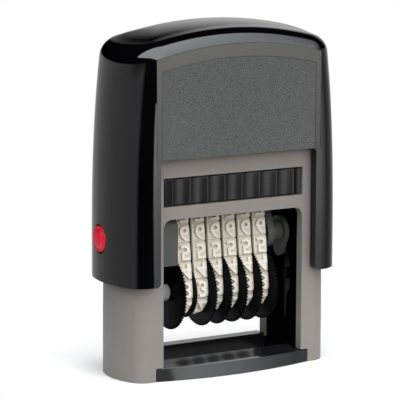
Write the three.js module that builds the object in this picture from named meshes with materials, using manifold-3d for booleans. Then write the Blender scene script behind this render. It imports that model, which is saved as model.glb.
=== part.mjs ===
// A self-inking numbering stamp with six number belts.
// Millimetres. X runs along the row of numbers, Y to the back, Z up.
// The origin is at the middle of the foot, on the paper.
import * as THREE from 'three';
import { mergeVertices } from 'three/addons/utils/BufferGeometryUtils.js';
import Module from 'manifold-3d';

const wasm = await Module();
wasm.setup();

// Clearances shared by all pieces.
const slideGap = 0.3;      // between pieces that move past each other
const seatGap = 0.15;      // between a piece and the flat seat that it is fixed to
const pinFit = 0.2;        // round a pin that is fixed in its hole
const paperGap = 0.1;      // left under the type at the end of the stroke
const overrun = 1;         // how far a cut runs past the face that it opens

// The arc along which the top falls away to both sides.
const archRadius = 72;

// Warm grey base that stands on the paper.
const base = {
  depth: 16,
  corner: 3.5,
  sideRadius: 12.5,        // the short sides bulge
  taper: 1.5,              // the hidden top is narrower
  wall: 1.9,
  sideWall: 2.7,
  armClearance: 0.7,       // from the bow's arms to the bulged walls
  shoulder: 1.5,
  crown: 0.3,
  roof: 1.2,               // under the spring well
  wellDepth: 6.5,
};
const opening = { corner: 1.8, crossbar: 2.5 };
const slot = { bottom: 34.5, height: 5.7 };
const sideGroove = { halfWidth: 3.3, bottom: 16.9, depth: 0.4 };

// Black foot ring under the base.
const foot = {
  lap: 1.5,                // beyond the window to each side
  height: 2.5,
  bulge: 2.2,
  topBulge: 1.3,
  endHeight: 1.6,
  lip: 0.6,                // from the window's side to the mouth
  mouthFront: 4.1,
  mouthRear: 5.3,
  frontRise: 0.7,          // the front bar's top slopes up to its inner edge
  ribHeight: 3.5,          // along the rear bar
};

// Gloss black cap that the hand presses.
const cap = {
  wall: 1.95,
  sideWall: 1.3,
  corner: 5.2,
  sideRadius: 20,
  taper: 1.8,              // narrower towards the top
  shoulder: 3,
  crown: 1,
  paperClearance: 1.9,     // under its legs at the end of the stroke
  roof: 1.7,
  innerShoulder: 1.9,
  wheelClearance: 0.45,    // over the wheels when they have turned up
};

// Frame plate and label in the cap's front and back.
const label = {
  lap: 0.8,                // beyond the cap's opening to each side
  frameThickness: 0.85,
  setBack: 0.02,           // behind the cap's face
  topRim: 2.6,
  sideRim: 1.2,
  panelThickness: 0.3,
  panelSetBack: 0.05,
};

// Round lock button in each side of the cap.
const button = { radius: 2.6, rise: 8.4, back: 1.5, travel: 0.4, clearance: 0.1, edge: 0.1, proud: 0.6 };

// Inner bow that carries the turning block, and the return spring.
const bow = { thickness: 1.8, armThickness: 2, halfDepth: 3.5 };
const spring = { radius: 4.2, wire: 0.8, turns: 7, wellClearance: 0.6 };

// Turning block: it pivots on the bow, type up against the pad and down on the paper.
const pivot = { radius: 1.3, bossRadius: 3.1, hubRadius: 2.1, hubLength: 2.44 };
const axle = { drop: 10, radius: 1.3, bossRadius: 2.2, end: 0.6 };
const tieRod = { rise: 4, radius: 0.7, bossRadius: 1.5 };
const cheek = { thickness: 1.5, waist: 1.6 };
const leverShare = 0.722;  // of the length at which the lug would stop half-way down
const lever = { thickness: 1, tipRadius: 1.2, lugRadius: 0.8, lugLength: 0.8 };
const guide = { thickness: 1.5, setBack: 0.4 };

// Six belts with raised type blocks, and the wheels that set them.
const belt = {
  count: 6,
  width: 2.94,
  faceRadius: 8.5,         // from the pivot to the type
  band: 0.7,
  type: 0.6,
  cells: 14,
  cellGap: 0.3,
  platenSpread: 1.3,
  platenRadius: 0.5,
  drumRadius: 3.85,
};
const wheel = {
  radius: 7.65,
  toothDepth: 0.4,
  teeth: 72,
  thickness: 0.4,
  flangeRadius: 5.6,
  sideGap: 0.09,
};
const core = { bottomGap: 0.35, fit: 0.2 };

// Ink cartridge: a fluted tray with a felt pad in its underside.
const flute = { pitch: 3.95, depth: 0.85 };
const tray = { roof: 1.5, endWall: 2.2, frontWall: 1.9, faceSetBack: 0.05 };
const removal = 19;        // the cartridge leaves the stamp altogether

// Facets: how finely round forms are cut.
const facets = {
  side: 3, corner: 5, front: 5, wall: 3, shoulder: 4, pin: 14, bore: 16, drum: 24, button: 24,
};

// Heights, from the pad in its slot down to the paper and up to the cap's top.
slot.top = slot.bottom + slot.height;
opening.top = slot.bottom - opening.crossbar;
pivot.height = slot.bottom - belt.faceRadius;
const stroke = pivot.height - belt.faceRadius - paperGap;
const axleHeight = pivot.height - axle.drop;
const slotCeiling = slot.top + slideGap;
const wellFloor = slotCeiling + base.roof;
const baseTop = wellFloor + base.wellDepth;
const bowUnderside = baseTop + stroke + 2 * slideGap;
const bowTop = bowUnderside + bow.thickness;
const capTop = bowTop + slideGap + cap.roof;
cap.bottom = stroke + cap.paperClearance;
cap.openingTop = pivot.height + axle.drop + wheel.radius + cap.wheelClearance;
button.height = cap.bottom + button.rise;

// Widths, from the row of belts out to the cap.
const beltThickness = belt.band + belt.type;
const beltPitch = belt.width + wheel.thickness + 2 * wheel.sideGap;
const rowEnd = (belt.count * beltPitch) / 2 + wheel.thickness / 2;
const cheekInner = rowEnd + slideGap;
const cheekOuter = cheekInner + cheek.thickness;
const leverInner = cheekOuter + pivot.hubLength;
const leverOuter = leverInner + lever.thickness;
const guideInner = leverOuter + slideGap;
const guideOuter = guideInner + guide.thickness;
const armInner = guideOuter + slideGap;
const armOuter = armInner + bow.armThickness;
opening.halfWidth = guideInner - guide.setBack;
foot.halfWidth = opening.halfWidth + foot.lap;
foot.mouthHalfWidth = opening.halfWidth - foot.lip;
base.width = 2 * (armOuter + base.armClearance + base.sideWall);
cap.width = base.width + 2 * (slideGap + cap.sideWall);
cap.openingHalfWidth = foot.halfWidth + slideGap;
label.frameHalfWidth = cap.openingHalfWidth + label.lap;

// Depths, and the sizes that follow from the stroke.
cap.depth = base.depth + 2 * (slideGap + cap.wall);
const capFace = cap.depth / 2;
const platenHeight = belt.faceRadius - beltThickness - belt.platenRadius;
lever.length = (leverShare * stroke) / Math.PI;
tray.halfWidth = opening.halfWidth - slideGap;
tray.face = base.depth / 2 - tray.faceSetBack;
tray.pocketHalfWidth = tray.halfWidth - tray.endWall;
tray.pocketHalfDepth = tray.face - flute.depth - tray.frontWall;

// Plain finishes.
const finish = (color, roughness, metalness = 0) =>
  new THREE.MeshStandardMaterial({ color, roughness, metalness });
const finishes = {
  capBlack: finish(0x1c1c1e, 0.18),
  baseGrey: finish(0x807b77, 0.55),
  footBlack: finish(0x232324, 0.3),
  innerBlack: finish(0x141414, 0.45),
  labelGrey: finish(0x50524f, 0.8),
  rimGrey: finish(0x6f6f69, 0.4),
  red: finish(0xc4203a, 0.35),
  ivory: finish(0xdcd6c4, 0.6),
  wheelBlack: finish(0x161617, 0.4),
  steel: finish(0xb4b6b8, 0.3, 1),
  coreGrey: finish(0x66665f, 0.6),
  felt: finish(0x18182a, 0.95),
};

// Joining and cutting.
function toSolid(geometry) {
  const plain = geometry.index ? geometry.toNonIndexed() : geometry.clone();
  plain.deleteAttribute('normal');
  plain.deleteAttribute('uv');
  const merged = mergeVertices(plain, 1e-5);
  return new wasm.Manifold(new wasm.Mesh({
    numProp: 3,
    vertProperties: new Float32Array(merged.attributes.position.array),
    triVerts: new Uint32Array(merged.index.array),
  }));
}

function toGeometry(solid) {
  const { vertProperties, triVerts } = solid.getMesh();
  const geometry = new THREE.BufferGeometry();
  geometry.setAttribute('position', new THREE.BufferAttribute(vertProperties, 3));
  geometry.setIndex(new THREE.BufferAttribute(triVerts, 1));
  geometry.computeVertexNormals();
  return geometry;
}

const join = (...solids) => solids.reduce((all, next) => all.add(next));
const cut = (solid, ...tools) => tools.reduce((all, next) => all.subtract(next), solid);

// A prism on a flat outline. The outline's two directions are the other two axes in X, Y, Z order.
const X = new THREE.Vector3(1, 0, 0);
const Y = new THREE.Vector3(0, 1, 0);
const Z = new THREE.Vector3(0, 0, 1);
function prism(shape, axis, from, to, curveSegments = 8) {
  const geometry = new THREE.ExtrudeGeometry(shape, {
    depth: to - from, bevelEnabled: false, curveSegments,
  });
  if (axis === 'x') {
    geometry.translate(0, 0, from);
    geometry.applyMatrix4(new THREE.Matrix4().makeBasis(Y, Z, X));
  } else if (axis === 'y') {
    geometry.translate(0, 0, -to);
    geometry.applyMatrix4(new THREE.Matrix4().makeBasis(X, Z, Y.clone().negate()));
  } else {
    geometry.translate(0, 0, from);
  }
  return toSolid(geometry);
}

const polygon = (points) => new THREE.Shape(points.map(([u, v]) => new THREE.Vector2(u, v)));

function block(x0, x1, y0, y1, z0, z1) {
  return prism(polygon([[x0, y0], [x1, y0], [x1, y1], [x0, y1]]), 'z', z0, z1);
}

function circlePoints(u, v, radius, count, start = 0, sweep = 2 * Math.PI) {
  const closed = Math.abs(sweep) >= 2 * Math.PI;
  const points = [];
  for (let i = 0; i < count + (closed ? 0 : 1); i += 1) {
    const angle = start + (sweep * i) / count;
    points.push([u + radius * Math.cos(angle), v + radius * Math.sin(angle)]);
  }
  return points;
}

// A round bar along X, centred on a point of the YZ plane.
const barX = (y, z, radius, from, to, sides = facets.pin) =>
  prism(polygon(circlePoints(y, z, radius, sides)), 'x', from, to);

// The outline round two circles, as a belt lies on two pulleys of one plane.
function twoCircles(a, b, steps) {
  const du = b.u - a.u;
  const dv = b.v - a.v;
  const lean = Math.acos((a.radius - b.radius) / Math.hypot(du, dv));
  const along = Math.atan2(dv, du);
  return [
    ...circlePoints(b.u, b.v, b.radius, steps, along - lean, 2 * lean),
    ...circlePoints(a.u, a.v, a.radius, steps, along + lean, 2 * (Math.PI - lean)),
  ];
}

const archFall = (x) => (x * x) / (2 * archRadius);

// Plan of a moulded casing: round bulging sides, round corners, straight front and back.
// It gives the back half, from the right-hand side to the left.
function halfPlan({ width, depth, corner, sideRadius }, inset) {
  const round = Math.max(corner - inset, corner / 10);
  const side = sideRadius - inset;
  const halfDepth = depth / 2 - inset;
  const turn = Math.asin((halfDepth - round) / (side - round));
  const centre = width / 2 - sideRadius;
  const cornerX = centre + (side - round) * Math.cos(turn);
  const quarter = [
    ...circlePoints(centre, 0, side, facets.side, 0, turn).slice(0, -1),
    ...circlePoints(cornerX, halfDepth - round, round, facets.corner, turn, Math.PI / 2 - turn),
  ];
  for (let i = 1; i < facets.front; i += 1) {
    quarter.push([cornerX * (1 - i / facets.front), halfDepth]);
  }
  return [...quarter, [0, halfDepth], ...quarter.map(([x, y]) => [-x, y]).reverse()];
}

// A casing that narrows towards its top, which is arched, crowned and has a rounded shoulder.
function domedCasing(plan, { bottom, top, shoulder, crown, taper }) {
  const ring = (narrowing, inset, height) => {
    const outline = halfPlan({ ...plan, width: plan.width - 2 * narrowing }, inset);
    const back = outline.map(([x, y]) => [x, y, height(x)]);
    const front = back.slice(1, -1).reverse().map(([x, y, z]) => [x, -y, z]);
    return [...back, ...front];
  };
  const springing = top - crown - shoulder;
  const rings = [];
  for (let i = 0; i < facets.wall; i += 1) {
    const rise = Math.sqrt(i / facets.wall);
    rings.push(ring(
      taper * rise ** 3, 0, (x) => bottom + (springing - archFall(x) - bottom) * rise,
    ));
  }
  for (let i = 0; i <= facets.shoulder; i += 1) {
    const angle = (Math.PI / 2) * (i / facets.shoulder);
    rings.push(ring(
      taper, shoulder * (1 - Math.cos(angle)), (x) => springing + shoulder * Math.sin(angle) - archFall(x),
    ));
  }
  const middle = (plan.depth / 2 + shoulder) / 2;
  rings.push(ring(taper, middle, (x) => top - crown / 4 - archFall(x)));

  const count = rings[0].length;
  const positions = rings.flat();
  const triangles = [];
  for (let r = 0; r < rings.length - 1; r += 1) {
    for (let i = 0; i < count; i += 1) {
      const j = (i + 1) % count;
      const [a, b] = [r * count + i, r * count + j];
      triangles.push(a, b, b + count, a, b + count, a + count);
    }
  }
  // The bottom and the top close on a line along the middle.
  const last = (rings.length - 1) * count;
  const middleLine = (first, height, upward) => {
    const line = [first];
    for (let i = 1; i < count / 2; i += 1) {
      const x = positions[first + i][0];
      line.push(positions.length);
      positions.push([x, 0, height(x)]);
    }
    line.push(first + count / 2);
    for (let i = 0; i < count / 2; i += 1) {
      const [back0, back1] = [first + i, first + i + 1];
      const front0 = first + ((count - i) % count);
      const front1 = first + count - i - 1;
      const faces = [];
      if (i > 0) faces.push([back0, back1, line[i]], [front0, line[i], front1]);
      if (i < count / 2 - 1) {
        faces.push([line[i], back1, line[i + 1]], [line[i], line[i + 1], front1]);
      }
      faces.forEach(([a, b, c]) => triangles.push(...(upward ? [a, b, c] : [a, c, b])));
    }
  };
  middleLine(0, () => bottom, false);
  middleLine(last, (x) => top - archFall(x), true);

  const geometry = new THREE.BufferGeometry();
  geometry.setAttribute('position', new THREE.Float32BufferAttribute(positions.flat(), 3));
  geometry.setIndex(triangles);
  return toSolid(geometry);
}

// An upright plate outline in X and Z whose top edge follows the arch.
function archedPlate(halfWidth, bottom, top) {
  const points = [[-halfWidth, bottom], [halfWidth, bottom]];
  const steps = 2 * facets.front;
  for (let i = 0; i <= steps; i += 1) {
    const x = halfWidth * (1 - (2 * i) / steps);
    points.push([x, top - archFall(x)]);
  }
  return polygon(points);
}

// Base housing: window and cartridge slot through front and back, guide slots and well in its roof.
function baseHousing() {
  const plan = { ...base };
  const outside = domedCasing(plan, {
    bottom: 0, top: baseTop, shoulder: base.shoulder, crown: base.crown, taper: base.taper,
  });
  const inner = halfPlan({ ...plan, width: 2 * (armOuter + base.armClearance + base.wall) }, base.wall);
  const outline = [...inner, ...inner.slice(1, -1).reverse().map(([x, y]) => [x, -y])];
  const cavity = prism(polygon(outline), 'z', -overrun, slotCeiling);
  const { halfWidth, top, corner } = opening;
  const window = polygon([
    [-halfWidth, -overrun],
    [halfWidth, -overrun],
    ...circlePoints(halfWidth - corner, top - corner, corner, facets.corner, 0, Math.PI / 2),
    ...circlePoints(-halfWidth + corner, top - corner, corner, facets.corner, Math.PI / 2, Math.PI / 2),
  ]);
  const through = base.depth / 2 + overrun;
  const notch = foot.halfWidth + seatGap;
  const armHalfDepth = bow.halfDepth + slideGap;
  const cuts = [
    cavity,
    prism(window, 'y', -through, through),
    block(-halfWidth, halfWidth, -through, through, slot.bottom, slot.top),
    block(-notch, notch, -through, through, -overrun, foot.height + seatGap),
    prism(
      polygon(circlePoints(0, 0, spring.radius + spring.wire / 2 + spring.wellClearance, facets.button)),
      'z', wellFloor, baseTop + overrun,
    ),
  ];
  for (const side of [-1, 1]) {
    const [near, far] = [side * (armInner - slideGap), side * (armOuter + slideGap)];
    cuts.push(block(
      Math.min(near, far), Math.max(near, far), -armHalfDepth, armHalfDepth,
      slotCeiling - overrun, baseTop + overrun,
    ));
    const { halfWidth: reach, bottom, depth } = sideGroove;
    const groove = polygon([
      ...circlePoints(0, bottom + reach, reach, 2 * facets.corner, Math.PI, Math.PI),
      [reach, baseTop + overrun],
      [-reach, baseTop + overrun],
    ]);
    const floor = base.width / 2 - depth;
    const outer = base.width / 2 + overrun;
    cuts.push(prism(groove, 'x', side > 0 ? floor : -outer, side > 0 ? outer : -floor));
  }
  return cut(outside, ...cuts);
}

// A body between level outlines that have the same number of points.
function loft(levels) {
  const count = levels[0].outline.length;
  const triangles = [];
  for (let r = 0; r < levels.length - 1; r += 1) {
    for (let i = 0; i < count; i += 1) {
      const [a, b] = [r * count + i, r * count + ((i + 1) % count)];
      triangles.push(a, b, b + count, a, b + count, a + count);
    }
  }
  const outline = levels[0].outline.map(([x, y]) => new THREE.Vector2(x, y));
  const last = (levels.length - 1) * count;
  THREE.ShapeUtils.triangulateShape(outline, []).forEach(([a, b, c]) => {
    triangles.push(a, c, b, last + a, last + b, last + c);
  });
  const positions = levels.flatMap(({ outline: points, z }) => points.flatMap(([x, y]) => [x, y, z]));
  const geometry = new THREE.BufferGeometry();
  geometry.setAttribute('position', new THREE.Float32BufferAttribute(positions, 3));
  geometry.setIndex(triangles);
  return toSolid(geometry);
}

// Foot ring: a bowed bar in front and behind with sloping faces, joined by low ends.
function footFrame() {
  const steps = 2 * facets.front;
  const { halfWidth, height, mouthHalfWidth: mouthX, mouthFront, mouthRear, ribHeight } = foot;
  const bowed = (bulge) => {
    const back = [];
    for (let i = 0; i <= steps; i += 1) {
      const across = 1 - (2 * i) / steps;
      back.push([halfWidth * across, base.depth / 2 + bulge * (1 - across ** 2)]);
    }
    return [...back, ...back.map(([x, y]) => [-x, -y])];
  };
  const ring = loft([{ outline: bowed(foot.bulge), z: 0 }, { outline: bowed(foot.topBulge), z: height }]);
  const face = base.depth / 2;
  const rib = block(-mouthX, mouthX, mouthRear, face, height / 2, ribHeight);
  const slope = prism(polygon([
    [-face, height / 2], [-mouthFront, height / 2], [-mouthFront, height + foot.frontRise], [-face, height],
  ]), 'x', -mouthX, mouthX);
  const endHalfDepth = base.depth / 2 - base.wall;
  const beyond = halfWidth + overrun;
  const over = ribHeight + overrun;
  return cut(
    join(ring, rib, slope),
    block(-mouthX, mouthX, -mouthFront, mouthRear, -overrun, over),
    block(mouthX, beyond, -endHalfDepth, endHalfDepth, foot.endHeight, over),
    block(-beyond, -mouthX, -endHalfDepth, endHalfDepth, foot.endHeight, over),
  );
}

// Guide plate: an upright slot for the pivot and a cam groove that turns the block as it falls.
function guidePlate(side) {
  const halfDepth = base.depth / 2 - base.wall - slideGap;
  const low = foot.endHeight + slideGap;
  const high = slotCeiling - slideGap;
  const span = (near, far) => (side > 0 ? [near, far] : [-far, -near]);
  const plate = prism(
    polygon([[-halfDepth, low], [halfDepth, low], [halfDepth, high], [-halfDepth, high]]),
    'x', ...span(guideInner, guideOuter),
  );
  const width = pivot.radius + slideGap;
  const upright = prism(
    polygon([
      ...circlePoints(0, pivot.height - stroke, width, facets.corner * 2, Math.PI, Math.PI),
      ...circlePoints(0, pivot.height, width, facets.corner * 2, 0, Math.PI),
    ]),
    'x', ...span(guideInner - overrun, guideOuter + overrun),
  );
  const steps = 20;
  const half = lever.lugRadius + slideGap;
  const at = (t) => {
    const turn = Math.PI * t;
    return new THREE.Vector2(
      -lever.length * Math.sin(turn),
      pivot.height - stroke * t - lever.length * Math.cos(turn),
    );
  };
  const along = (t) => new THREE.Vector2(
    -lever.length * Math.PI * Math.cos(Math.PI * t),
    -stroke + lever.length * Math.PI * Math.sin(Math.PI * t),
  ).normalize();
  const offset = (t, distance) => {
    const direction = along(t);
    const point = at(t);
    return [point.x - direction.y * distance, point.y + direction.x * distance];
  };
  // Where the path turns tighter than the groove is wide, its inner edge is cut short.
  const clearShare = 0.99;
  const onPath = Array.from({ length: 4 * steps + 1 }, (_, i) => at(i / (4 * steps)));
  const clear = ([u, v]) => onPath.every((point) => Math.hypot(u - point.x, v - point.y) > half * clearShare);
  const edge = (distance) =>
    Array.from({ length: steps + 1 }, (_, i) => offset(i / steps, distance)).filter(clear);
  const left = edge(half);
  const right = edge(-half);
  const endAngle = Math.atan2(along(1).y, along(1).x);
  const startAngle = Math.atan2(along(0).y, along(0).x);
  const roundEnd = (t, angle) =>
    circlePoints(at(t).x, at(t).y, half, facets.corner, angle, Math.PI).slice(1, -1);
  const track = [
    ...right,
    ...roundEnd(1, endAngle - Math.PI / 2),
    ...left.reverse(),
    ...roundEnd(0, startAngle + Math.PI / 2),
  ];
  const groove = prism(polygon(track), 'x', ...span(guideInner - overrun, guideInner + lever.lugLength));
  return cut(plate, upright, groove);
}

// Ink cartridge: grip flutes at both ends and a pocket for the pad underneath.
function inkCartridge() {
  const { halfWidth, face } = tray;
  const low = slot.bottom + slideGap;
  const high = slot.top - slideGap;
  const arrises = [];
  const firstOut = Math.floor(halfWidth / flute.pitch - 0.5) + 0.5;
  for (let k = -firstOut; k <= firstOut; k += 1) arrises.push(k * flute.pitch);
  // Each flute is a scoop between two arrises; the outermost run off the tray's side.
  const scoop = (x) => {
    const phase = x / flute.pitch + 0.5;
    const within = 2 * (phase - Math.floor(phase)) - 1;
    return face - flute.depth * (1 - within * within);
  };
  const steps = 4;
  const edge = [];
  const stops = [-halfWidth, ...arrises, halfWidth];
  for (let i = 0; i < stops.length - 1; i += 1) {
    for (let j = 0; j < steps; j += 1) {
      const x = stops[i] + ((stops[i + 1] - stops[i]) * j) / steps;
      edge.push([x, j === 0 && i > 0 ? face : scoop(x)]);
    }
  }
  edge.push([halfWidth, scoop(halfWidth)]);
  const outline = [...edge.map(([x, y]) => [x, -y]), ...edge.reverse()];
  const { pocketHalfWidth: px, pocketHalfDepth: py } = tray;
  return cut(
    prism(polygon(outline), 'z', low, high),
    block(-px, px, -py, py, low - overrun, high - tray.roof),
  );
}

function inkPad() {
  const low = slot.bottom + slideGap;
  const high = slot.top - slideGap - tray.roof - seatGap;
  const px = tray.pocketHalfWidth - slideGap;
  const py = tray.pocketHalfDepth - slideGap;
  return block(-px, px, -py, py, low, high);
}

// Return spring: one round wire, coiled, in the well of the base and under the bow.
function returnSpring() {
  const low = wellFloor + slideGap;
  const high = bowUnderside - slideGap;
  const sides = 5;
  const perTurn = 8;
  const radius = spring.wire / 2;
  const climb = high - low - spring.wire;
  const turnSteps = perTurn * spring.turns;
  const centres = [];
  for (let i = 0; i <= turnSteps; i += 1) {
    const angle = (2 * Math.PI * i) / perTurn;
    centres.push(new THREE.Vector3(
      spring.radius * Math.cos(angle),
      spring.radius * Math.sin(angle),
      low + radius + (climb * i) / turnSteps,
    ));
  }
  // Each end runs on straight and level for one wire thickness.
  const runOn = (end, sign) => end.clone().addScaledVector(Y, sign * spring.wire);
  const path = [runOn(centres[0], -1), ...centres, runOn(centres[turnSteps], 1)];
  const positions = [];
  const triangles = [];
  path.forEach((centre, i) => {
    const before = path[Math.max(i - 1, 0)];
    const after = path[Math.min(i + 1, path.length - 1)];
    const forward = after.clone().sub(before).normalize();
    const outward = new THREE.Vector3(centre.x, centre.y, 0).normalize();
    const rise = forward.clone().cross(outward).normalize();
    const sideways = rise.clone().cross(forward).normalize();
    for (let k = 0; k < sides; k += 1) {
      const angle = (2 * Math.PI * k) / sides;
      const point = centre.clone()
        .addScaledVector(sideways, radius * Math.cos(angle))
        .addScaledVector(rise, -radius * Math.sin(angle));
      positions.push(point.x, point.y, point.z);
    }
  });
  for (let i = 0; i < path.length - 1; i += 1) {
    for (let k = 0; k < sides; k += 1) {
      const [a, b] = [i * sides + k, i * sides + ((k + 1) % sides)];
      triangles.push(a, b + sides, b, a, a + sides, b + sides);
    }
  }
  const end = (path.length - 1) * sides;
  for (let k = 1; k < sides - 1; k += 1) {
    triangles.push(0, k, k + 1, end, end + k + 1, end + k);
  }
  let nearest = Infinity;
  for (let i = 0; i < centres.length; i += 1) {
    for (let j = i + perTurn - 2; j < centres.length; j += 1) {
      nearest = Math.min(nearest, centres[i].distanceTo(centres[j]));
    }
  }
  console.log(`least gap between the spring's coils: ${(nearest - spring.wire).toFixed(2)} mm`);
  const geometry = new THREE.BufferGeometry();
  geometry.setAttribute('position', new THREE.Float32BufferAttribute(positions, 3));
  geometry.setIndex(triangles);
  return toSolid(geometry);
}

// Cap: a deep shell with an arched top, open in front and behind between two legs.
function capShell() {
  const outside = domedCasing(cap, {
    bottom: cap.bottom, top: capTop, shoulder: cap.shoulder, crown: cap.crown, taper: cap.taper,
  });
  const bore = {
    width: base.width + 2 * slideGap,
    depth: base.depth + 2 * slideGap,
    corner: base.corner + slideGap,
    sideRadius: base.sideRadius + slideGap,
  };
  // The bore narrows as the base does when it is all the way in.
  const inside = domedCasing(bore, {
    bottom: stroke, top: capTop - cap.roof, shoulder: cap.innerShoulder, crown: 0, taper: base.taper,
  });
  const through = cap.depth / 2 + overrun;
  const { openingHalfWidth: reach, openingTop } = cap;
  const recessTop = capTop - cap.crown - cap.shoulder - seatGap;
  const floor = capFace - label.setBack - label.frameThickness - seatGap;
  const recess = archedPlate(label.frameHalfWidth + seatGap, openingTop - overrun, recessTop + seatGap);
  const hole = circlePoints(button.back, button.height, button.radius + slideGap, facets.button);
  return cut(
    outside,
    inside,
    block(-reach, reach, -through, through, cap.bottom - overrun, openingTop),
    prism(recess, 'y', -through, -floor),
    prism(recess, 'y', floor, through),
    prism(polygon(hole), 'x', -cap.width / 2 - overrun, cap.width / 2 + overrun),
  );
}

// Label frame: an arched plate with a shallow bed for the label.
const frameTop = capTop - cap.crown - cap.shoulder - seatGap;
const panelTop = frameTop - label.topRim;
const panelHalfWidth = label.frameHalfWidth - label.sideRim;

function labelFrame(side) {
  const outer = capFace - label.setBack;
  const bed = outer - label.panelSetBack - label.panelThickness - seatGap / 2;
  const span = (near, far) => (side > 0 ? [near, far] : [-far, -near]);
  const plate = archedPlate(label.frameHalfWidth, cap.openingTop, frameTop);
  const hollow = archedPlate(panelHalfWidth + seatGap / 2, cap.openingTop - overrun, panelTop + seatGap / 2);
  return cut(
    prism(plate, 'y', ...span(outer - label.frameThickness, outer)),
    prism(hollow, 'y', ...span(bed, outer + overrun)),
  );
}

function labelPanel(side) {
  const outer = capFace - label.setBack - label.panelSetBack;
  const span = (near, far) => (side > 0 ? [near, far] : [-far, -near]);
  const plate = archedPlate(panelHalfWidth, cap.openingTop, panelTop);
  return prism(plate, 'y', ...span(outer - label.panelThickness, outer));
}

// Lock button: a short round pad with a domed face, turned about its own axis.
function lockButton(side) {
  const inner = base.width / 2 + button.clearance + button.travel;
  const edge = cap.width / 2 + button.edge;
  const tip = cap.width / 2 + button.proud;
  const steps = 4;
  const profile = [new THREE.Vector2(0, inner), new THREE.Vector2(button.radius, inner)];
  for (let i = 0; i < steps; i += 1) {
    const angle = (Math.PI / 2) * (i / steps);
    profile.push(new THREE.Vector2(
      button.radius * Math.cos(angle),
      edge + (tip - edge) * Math.sin(angle),
    ));
  }
  profile.push(new THREE.Vector2(0, tip));
  const geometry = new THREE.LatheGeometry(profile, facets.button);
  geometry.applyMatrix4(side > 0
    ? new THREE.Matrix4().makeBasis(Y, X, Z.clone().negate())
    : new THREE.Matrix4().makeBasis(Y, X.clone().negate(), Z));
  geometry.translate(0, button.back, button.height);
  return toSolid(geometry);
}

// Bow: an arched strap under the cap's roof with two arms down to the pivot.
function carrierBow() {
  const strap = archedPlate(armOuter, pivot.height - bow.halfDepth, bowTop);
  const inside = archedPlate(armInner, pivot.height - bow.halfDepth - overrun, bowUnderside);
  const { halfDepth } = bow;
  const sideView = polygon([
    ...circlePoints(0, pivot.height, halfDepth, 2 * facets.corner, Math.PI, Math.PI),
    [halfDepth, bowTop + overrun],
    [-halfDepth, bowTop + overrun],
  ]);
  const reach = armOuter + overrun;
  return cut(
    cut(
      prism(strap, 'y', -halfDepth, halfDepth),
      prism(inside, 'y', -halfDepth - overrun, halfDepth + overrun),
    ).intersect(prism(sideView, 'x', -reach, reach)),
    barX(0, pivot.height, pivot.radius + pinFit, -reach, reach, facets.bore),
  );
}

const pivotShaft = () => {
  const end = armOuter - slideGap;
  return barX(0, pivot.height, pivot.radius, -end, end);
};

// Cheek: it holds the wheel axle and the tie rod, and its lever follows the cam groove.
function blockCheek(side) {
  const span = (near, far) => (side > 0 ? [near, far] : [-far, -near]);
  const [z, low, high] = [pivot.height, axleHeight, pivot.height + tieRod.rise];
  const plate = (points) => prism(polygon(points), 'x', ...span(cheekInner, cheekOuter));
  const boss = { u: 0, v: z, radius: pivot.bossRadius };
  const solid = join(
    plate(twoCircles(boss, { u: 0, v: high, radius: tieRod.bossRadius }, facets.corner)),
    plate([[-cheek.waist, low], [cheek.waist, low], [cheek.waist, z], [-cheek.waist, z]]),
    plate(circlePoints(0, low, axle.bossRadius, facets.pin)),
    barX(0, z, pivot.hubRadius, ...span(cheekOuter - cheek.thickness / 2, leverInner + lever.thickness / 2)),
    prism(
      polygon(twoCircles(boss, { u: 0, v: z - lever.length, radius: lever.tipRadius }, 2 * facets.corner)),
      'x', ...span(leverInner, leverOuter),
    ),
    barX(0, z - lever.length, lever.lugRadius, ...span(leverInner + lever.thickness / 2, leverOuter + lever.lugLength)),
  );
  const [from, to] = [-leverOuter - overrun, leverOuter + overrun];
  return cut(
    solid,
    barX(0, z, pivot.radius + slideGap, from, to, facets.bore),
    barX(0, low, axle.radius + pinFit, ...span(cheekInner - overrun, cheekOuter + overrun), facets.bore),
    barX(0, high, tieRod.radius + pinFit, ...span(cheekInner - overrun, cheekOuter + overrun), facets.bore),
  );
}

const wheelAxle = () => barX(0, axleHeight, axle.radius, -cheekOuter - axle.end, cheekOuter + axle.end);
const tieBar = () => barX(0, pivot.height + tieRod.rise, tieRod.radius, -cheekOuter, cheekOuter);

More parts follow.
